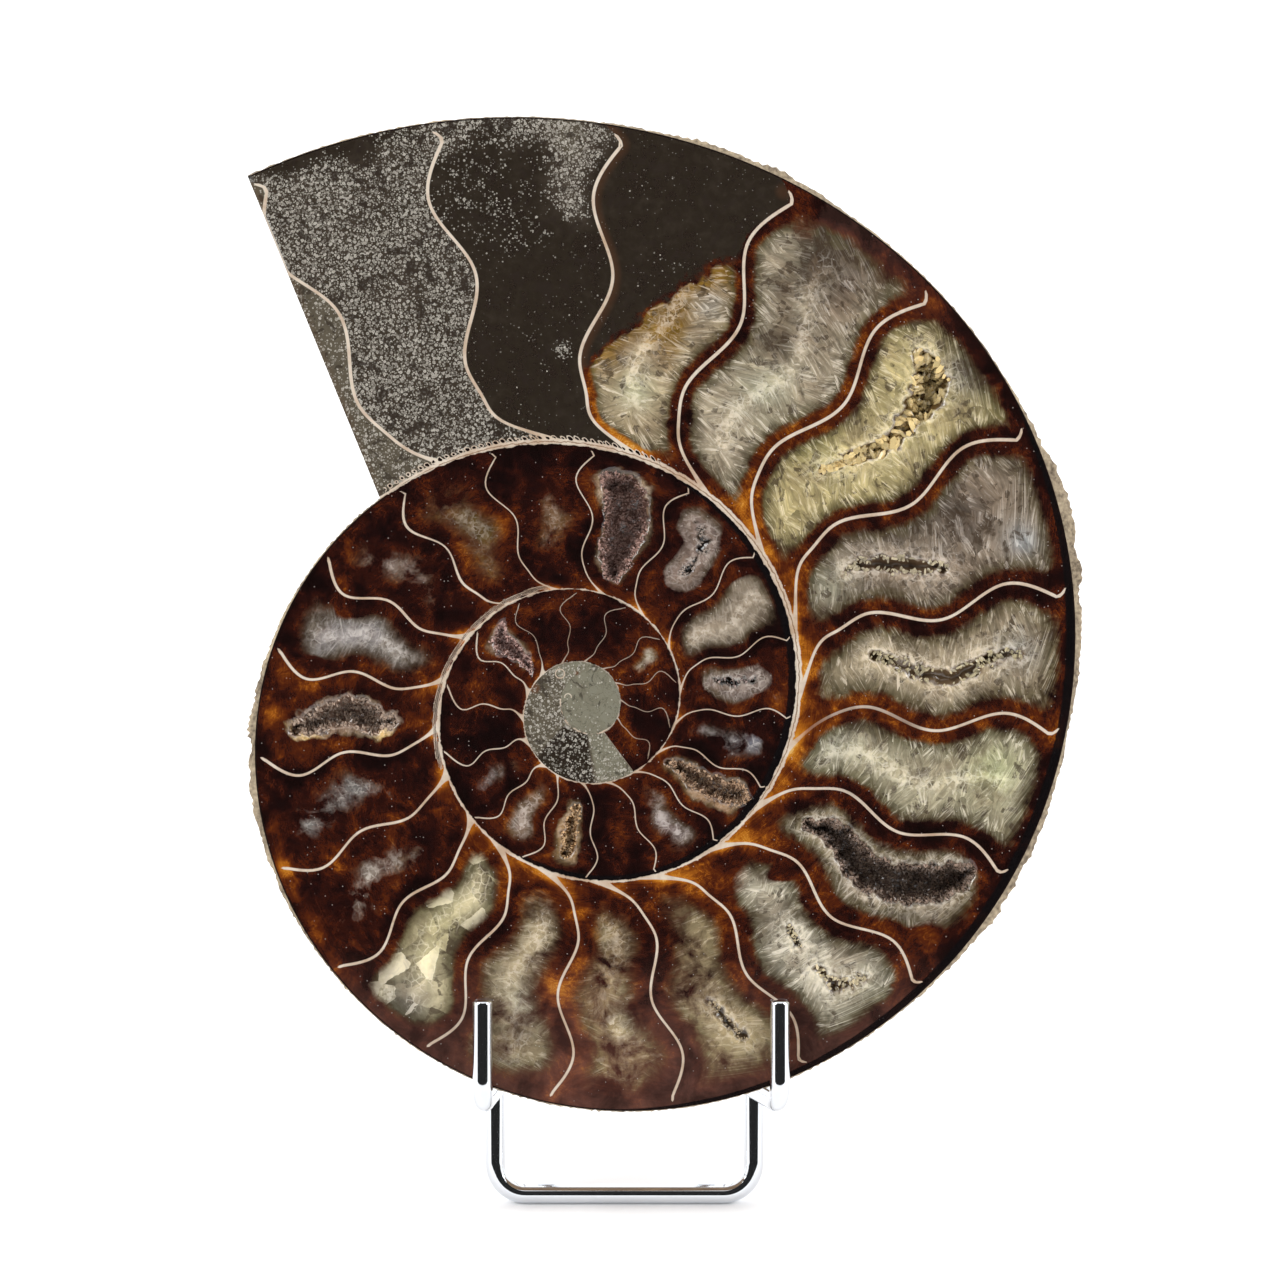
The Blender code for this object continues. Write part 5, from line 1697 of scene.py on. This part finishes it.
@dataclass
class WireStand:
    """The stand of bent round wire: front frame, rear leg and two hooks.

    Attributes:
        hooks: Each hook's side, and where along the face its arm starts and its prong stands.
        cut_ends: Inset in mm and share of the radius of each ring at a cut end.
    """

    place: FaceFrame
    wire: float = 3.0
    weld_gap: float = 0.3
    half_width: float = 20.0
    top: float = 36.0
    corner: float = 4.6
    leg_half_width: float = 14.0
    leg_splay: float = 24.0
    leg_corner: float = 6.0
    hook_height: float = -59.7
    prong_top: float = -44.2
    prong_gap: float = 0.6
    hook_bend: float = 3.2
    hooks: tuple[tuple[str, float, float], ...] = (("left", -13.8, -14.9), ("right", 26.2, 29.5))
    cut_ends: tuple[tuple[float, float], ...] = ((0.0, 0.55), (0.08, 0.85), (0.3, 1.0))
    ring: int = 28
    arc_steps: int = 12
    straight: float = 4.0
    brace_inset: float = 0.35

    def bend(self, before: Vector, corner: Vector, after: Vector, radius: float) -> list[Vector]:
        """Points round a bend between two straight runs of wire.

        Args:
            before: A point on the run that comes in.
            corner: Where the two runs would meet.
            after: A point on the run that goes out.
            radius: The centreline's radius, in mm.

        Returns:
            The points of the arc.
        """
        back, ahead = (before - corner).normalized(), (after - corner).normalized()
        half = back.angle(ahead) / 2
        centre = corner + (back + ahead).normalized() * (radius / math.sin(half))
        start, finish = (corner + way * (radius / math.tan(half)) - centre for way in (back, ahead))
        sweep = start.angle(finish)
        points = []
        for i in range(self.arc_steps + 1):
            t = i / self.arc_steps
            spoke = start * math.sin((1 - t) * sweep) + finish * math.sin(t * sweep)
            points.append(centre + spoke / math.sin(sweep))
        return points

    def route(self, corners: list[Vector], radius: float, closed: bool) -> list[Vector]:
        """The wire's centreline through its corners, each bent to the same radius."""
        count = len(corners)
        points = [] if closed else [corners[0]]
        for i in range(0 if closed else 1, count if closed else count - 1):
            points += self.bend(corners[i - 1], corners[i], corners[(i + 1) % count], radius)
        return points if closed else [*points, corners[-1]]

    def stations(self, points: list[Vector], closed: bool) -> list[Station]:
        """A ring's place, direction and radius at each point of a route, with rounded cut ends."""
        radius, last = self.wire / 2 * MM, len(points) - 1
        rings = []
        for i, point in enumerate(points):
            before = points[i - 1] if i or closed else point
            after = points[(i + 1) % len(points)] if i < last or closed else point
            rings.append((point, (after - before).normalized(), radius))
        if not closed:
            (start, out, _), (end, on, _) = rings[0], rings[-1]
            lead = [(start + out * inset * MM, out, radius * share) for inset, share in self.cut_ends]
            tail = [(end - on * inset * MM, on, radius * share) for inset, share in reversed(self.cut_ends)]
            rings = lead + rings[1:-1] + tail
        return self.brace(rings, closed)

    def brace(self, rings: list[Station], closed: bool) -> list[Station]:
        """Adds a ring close to both ends of each straight run, so that the bends don't shade it."""
        braced = []
        for number, (point, along, size) in enumerate(rings):
            braced.append((point, along, size))
            if number + 1 == len(rings) and not closed:
                break
            run = rings[(number + 1) % len(rings)][0] - point
            if run.length > self.straight * MM:
                way = run.normalized()
                step = way * self.brace_inset * MM
                braced += [(point + step, way, size), (point + run - step, way, size)]
        return braced

    def sweep(self, name: str, points: list[Vector], closed: bool, finish: Material) -> Piece:
        """Sweeps a round section along a flat route.

        Args:
            name: The piece's name.
            points: The route in the row frame, in metres.
            closed: Whether it runs back into itself.
            finish: The wire's material.

        Returns:
            The piece.
        """
        normal = Vector((0, 0, 0))
        for i in range(1, len(points) - 1):
            normal += (points[i] - points[i - 1]).cross(points[i + 1] - points[i])
        normal.normalize()
        bm = bmesh.new()
        bmesh.ops.create_circle(bm, cap_ends=False, segments=self.ring, radius=1.0)
        first = loop = list(bm.verts)
        shape = [vert.co.copy() for vert in loop]
        edges = list(bm.edges)
        for number, (point, along, size) in enumerate(self.stations(points, closed)):
            if number:
                grown = bmesh.ops.extrude_edge_only(bm, edges=edges)["geom"]
                fresh = {part for part in grown if isinstance(part, bmesh.types.BMVert)}
                loop = [next(e.other_vert(v) for e in v.link_edges if e.other_vert(v) in fresh) for v in loop]
                edges = self.ring_edges(loop)
            across = normal.cross(along).normalized()
            for vert, spot in zip(loop, shape):
                vert.co = point + (across * spot.x + normal * spot.y) * size
        if closed:
            bmesh.ops.bridge_loops(bm, edges=edges + self.ring_edges(first))
        else:
            bmesh.ops.holes_fill(bm, edges=bm.edges[:], sides=self.ring)
        bmesh.ops.recalc_face_normals(bm, faces=bm.faces)
        return to_piece(bm, name, [finish], smooth=True)

    def ring_edges(self, loop: list[bmesh.types.BMVert]) -> list[bmesh.types.BMEdge]:
        """The edges that join the points of one ring."""
        members = set(loop)
        return [e for e in {e for v in loop for e in v.link_edges} if all(v in members for v in e.verts)]

    def carry(self, points: list[Vector]) -> list[Vector]:
        """Carries points of the face, as right, depth and up, to the row frame."""
        rows = np.array([point[:] for point in points])
        return [Vector(row) for row in self.place.world(rows[:, 0], rows[:, 2], rows[:, 1])]

    def frame_route(self) -> list[Vector]:
        """The front frame's closed route."""
        place = self.place
        left, right = place.frame_middle - self.half_width, place.frame_middle + self.half_width
        low, high = place.frame_bottom, self.top
        ends = ((left, low), (right, low), (right, high), (left, high))
        return self.carry(self.route([Vector((x, place.frame_depth, z)) for x, z in ends], self.corner, True))

    def leg_route(self) -> list[Vector]:
        """The rear leg's route, hung from the frame's top bar."""
        place, half = self.place, self.leg_half_width
        lean, splay = place.lean, math.radians(self.leg_splay)
        offset = self.wire + self.weld_gap
        length = ((self.top - place.frame_bottom) * math.cos(lean) + offset * math.sin(splay)) / math.cos(splay)
        ends = ((-half, self.wire / 2), (-half, -length), (half, -length), (half, self.wire / 2))
        corners = [Vector((x, offset, z)) for x, z in ends]
        turned = Matrix.Rotation(lean + splay, 4, "X")
        pivot = Vector((place.frame_middle, place.frame_depth, self.top))
        return self.carry([pivot + turned @ point for point in self.route(corners, self.leg_corner, False)])

    def hook_route(self, root: float, tip: float) -> list[Vector]:
        """One hook's route: the arm out under the fossil, and the prong up in front of it."""
        back = self.place.frame_depth - self.wire / 2 - self.weld_gap
        front = -(self.wire / 2 + self.prong_gap)
        ends = ((root, back, self.hook_height), (tip, front, self.hook_height), (tip, front, self.prong_top))
        return self.carry(self.route([Vector(end) for end in ends], self.hook_bend, False))

    def build(self, finish: Material) -> None:
        """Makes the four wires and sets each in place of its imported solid."""
        wires = [("frame", self.frame_route(), True), ("rear_leg", self.leg_route(), False)]
        wires += [(f"hook_{side}", self.hook_route(root, tip), False) for side, root, tip in self.hooks]
        for name, points, closed in wires:
            dress(self.sweep(f"wire_{name}", points, closed, finish), f"stand_{name}")


@dataclass
class Studio:
    """Pale floor, soft light and the camera.

    Attributes:
        place: Where the face stands.
        target: Right and up on the face, in mm, where the camera looks.
        distance: The camera's distance from there, in mm.
        view_width: Width in mm of what it sees there.
        sensor: Width of its sensor in mm.
        card_distance: Radius of the dark card round the stand, in metres.
        card_sweep: Degrees that it runs round.
        card_rise: Degrees above the floor up to which it reaches.
        soft_lights: Name, place in metres, side in metres and power in watts of each soft light.
        aim: The point that they face.
        sky: Brightness of the white sky.
    """

    place: FaceFrame
    target: tuple[float, float] = (8.6, 9.65)
    distance: float = 550.0
    view_width: float = 192.0
    sensor: float = 36.0
    card_distance: float = 1.25
    card_sweep: float = 116.0
    card_rise: float = 52.0
    soft_lights: tuple[tuple[str, tuple[float, float, float], float, float], ...] = (
        ("left_softbox", (-1.1, -0.55, 0.9), 0.6, 9.0),
        ("right_softbox", (1.1, -0.5, 0.8), 0.6, 7.0),
    )
    aim: tuple[float, float, float] = (0, 0, 0.08)
    sky: float = 1.4

    def add(self, name: str, data: bpy.types.ID, spot: Vector) -> Piece:
        """Puts a light or a camera in the scene."""
        holder = bpy.data.objects.new(name, data)
        holder.location = spot
        bpy.context.scene.collection.objects.link(holder)
        return holder

    def floor(self) -> None:
        """A large white floor under the stand."""
        bm = bmesh.new()
        bmesh.ops.create_grid(bm, x_segments=1, y_segments=1, size=6.0)
        paper = Shade("white_paper_matt")
        white = linear("FFFFFF")
        paper.set(Base_Color=linear("FBFBFC"), Roughness=0.9, Emission_Color=white, Emission_Strength=0.1)
        to_piece(bm, "floor", [paper.material])

    def dark_card(self) -> None:
        """A dark curved card behind the camera, which the chrome and the polished face mirror."""
        bm = bmesh.new()
        bmesh.ops.create_grid(bm, x_segments=24, y_segments=1, size=0.5)
        reach = self.card_distance
        for vert in bm.verts:
            bearing = math.radians(self.card_sweep * vert.co.x)
            height = 0.04 if vert.co.y < 0 else 0.08 + reach * math.tan(math.radians(self.card_rise))
            vert.co = (reach * math.sin(bearing), -reach * math.cos(bearing), height)
        velvet = Shade("black_velvet_cloth")
        card = to_piece(bm, "dark_card", [velvet.set(Base_Color=linear("101010"), Roughness=1.0)])
        card.visible_camera = False

    def light(self, name: str, spot: tuple[float, float, float], size: float, power: float) -> None:
        """Adds a soft square light that faces the fossil."""
        lamp = bpy.data.lights.new(name, "AREA")
        lamp.size = size
        lamp.energy = power
        way = Vector(self.aim) - Vector(spot)
        self.add(name, lamp, Vector(spot)).rotation_euler = way.to_track_quat("-Z", "Y").to_euler()

    def camera(self) -> None:
        """A camera square to the polished face."""
        back = Vector(self.place.direction(np.array((0.0, 0.0, -1.0))))
        lens = bpy.data.cameras.new("camera")
        lens.sensor_width = self.sensor
        lens.lens = self.sensor * self.distance / self.view_width
        lens.clip_start, lens.clip_end = 0.01, 50.0
        holder = self.add("camera", lens, Vector(self.place.world(*self.target, 0.0)) + back * self.distance * MM)
        holder.rotation_mode = "QUATERNION"
        holder.rotation_quaternion = (-back).to_track_quat("-Z", "Y")
        bpy.context.scene.camera = holder

    def build(self) -> None:
        """Sets up floor, card, lights, sky and camera."""
        self.floor()
        self.dark_card()
        for row in self.soft_lights:
            self.light(*row)
        world = bpy.data.worlds.new("white_studio")
        world.use_nodes = True
        inputs = world.node_tree.nodes["Background"].inputs
        inputs["Color"].default_value = linear("FFFFFF")
        inputs["Strength"].default_value = self.sky
        scene = bpy.context.scene
        scene.world = world
        scene.view_settings.view_transform = "Standard"
        self.camera()


def main() -> None:
    """Builds the fossil, its crystals, the stand and the studio."""
    logging.basicConfig(level=logging.INFO, format="%(message)s")
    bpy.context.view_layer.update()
    place = FaceFrame()
    spiral = Spiral()
    finishes = [
        PolishedFace().build(),
        RoughRock("weathered_shell_rim", "5E5040", "BCAA8E").build(),
        RoughRock("fossil_shell_flank", "5A4030", "A88A66", 0.6).build(),
        RoughRock("sawn_mudstone", "3A362A", "7E7964", 0.6).build(),
    ]
    stone = Stone(place, spiral, Septa(), Flank(spiral), finishes)
    for number, bank in enumerate(stone.banks):
        dress(stone.build_bank(bank), "" if number else "fossil_half")
    dress(stone.build_core())
    for hollow in HOLLOWS:
        finish = Druse(hollow.name, hollow.crystal).build()
        dress(CrystalLining(place, hollow).build(finish), hollow.node)
    WireStand(place).build(ChromeWire().build())
    Studio(place).build()


if __name__ == "__main__":
    main()
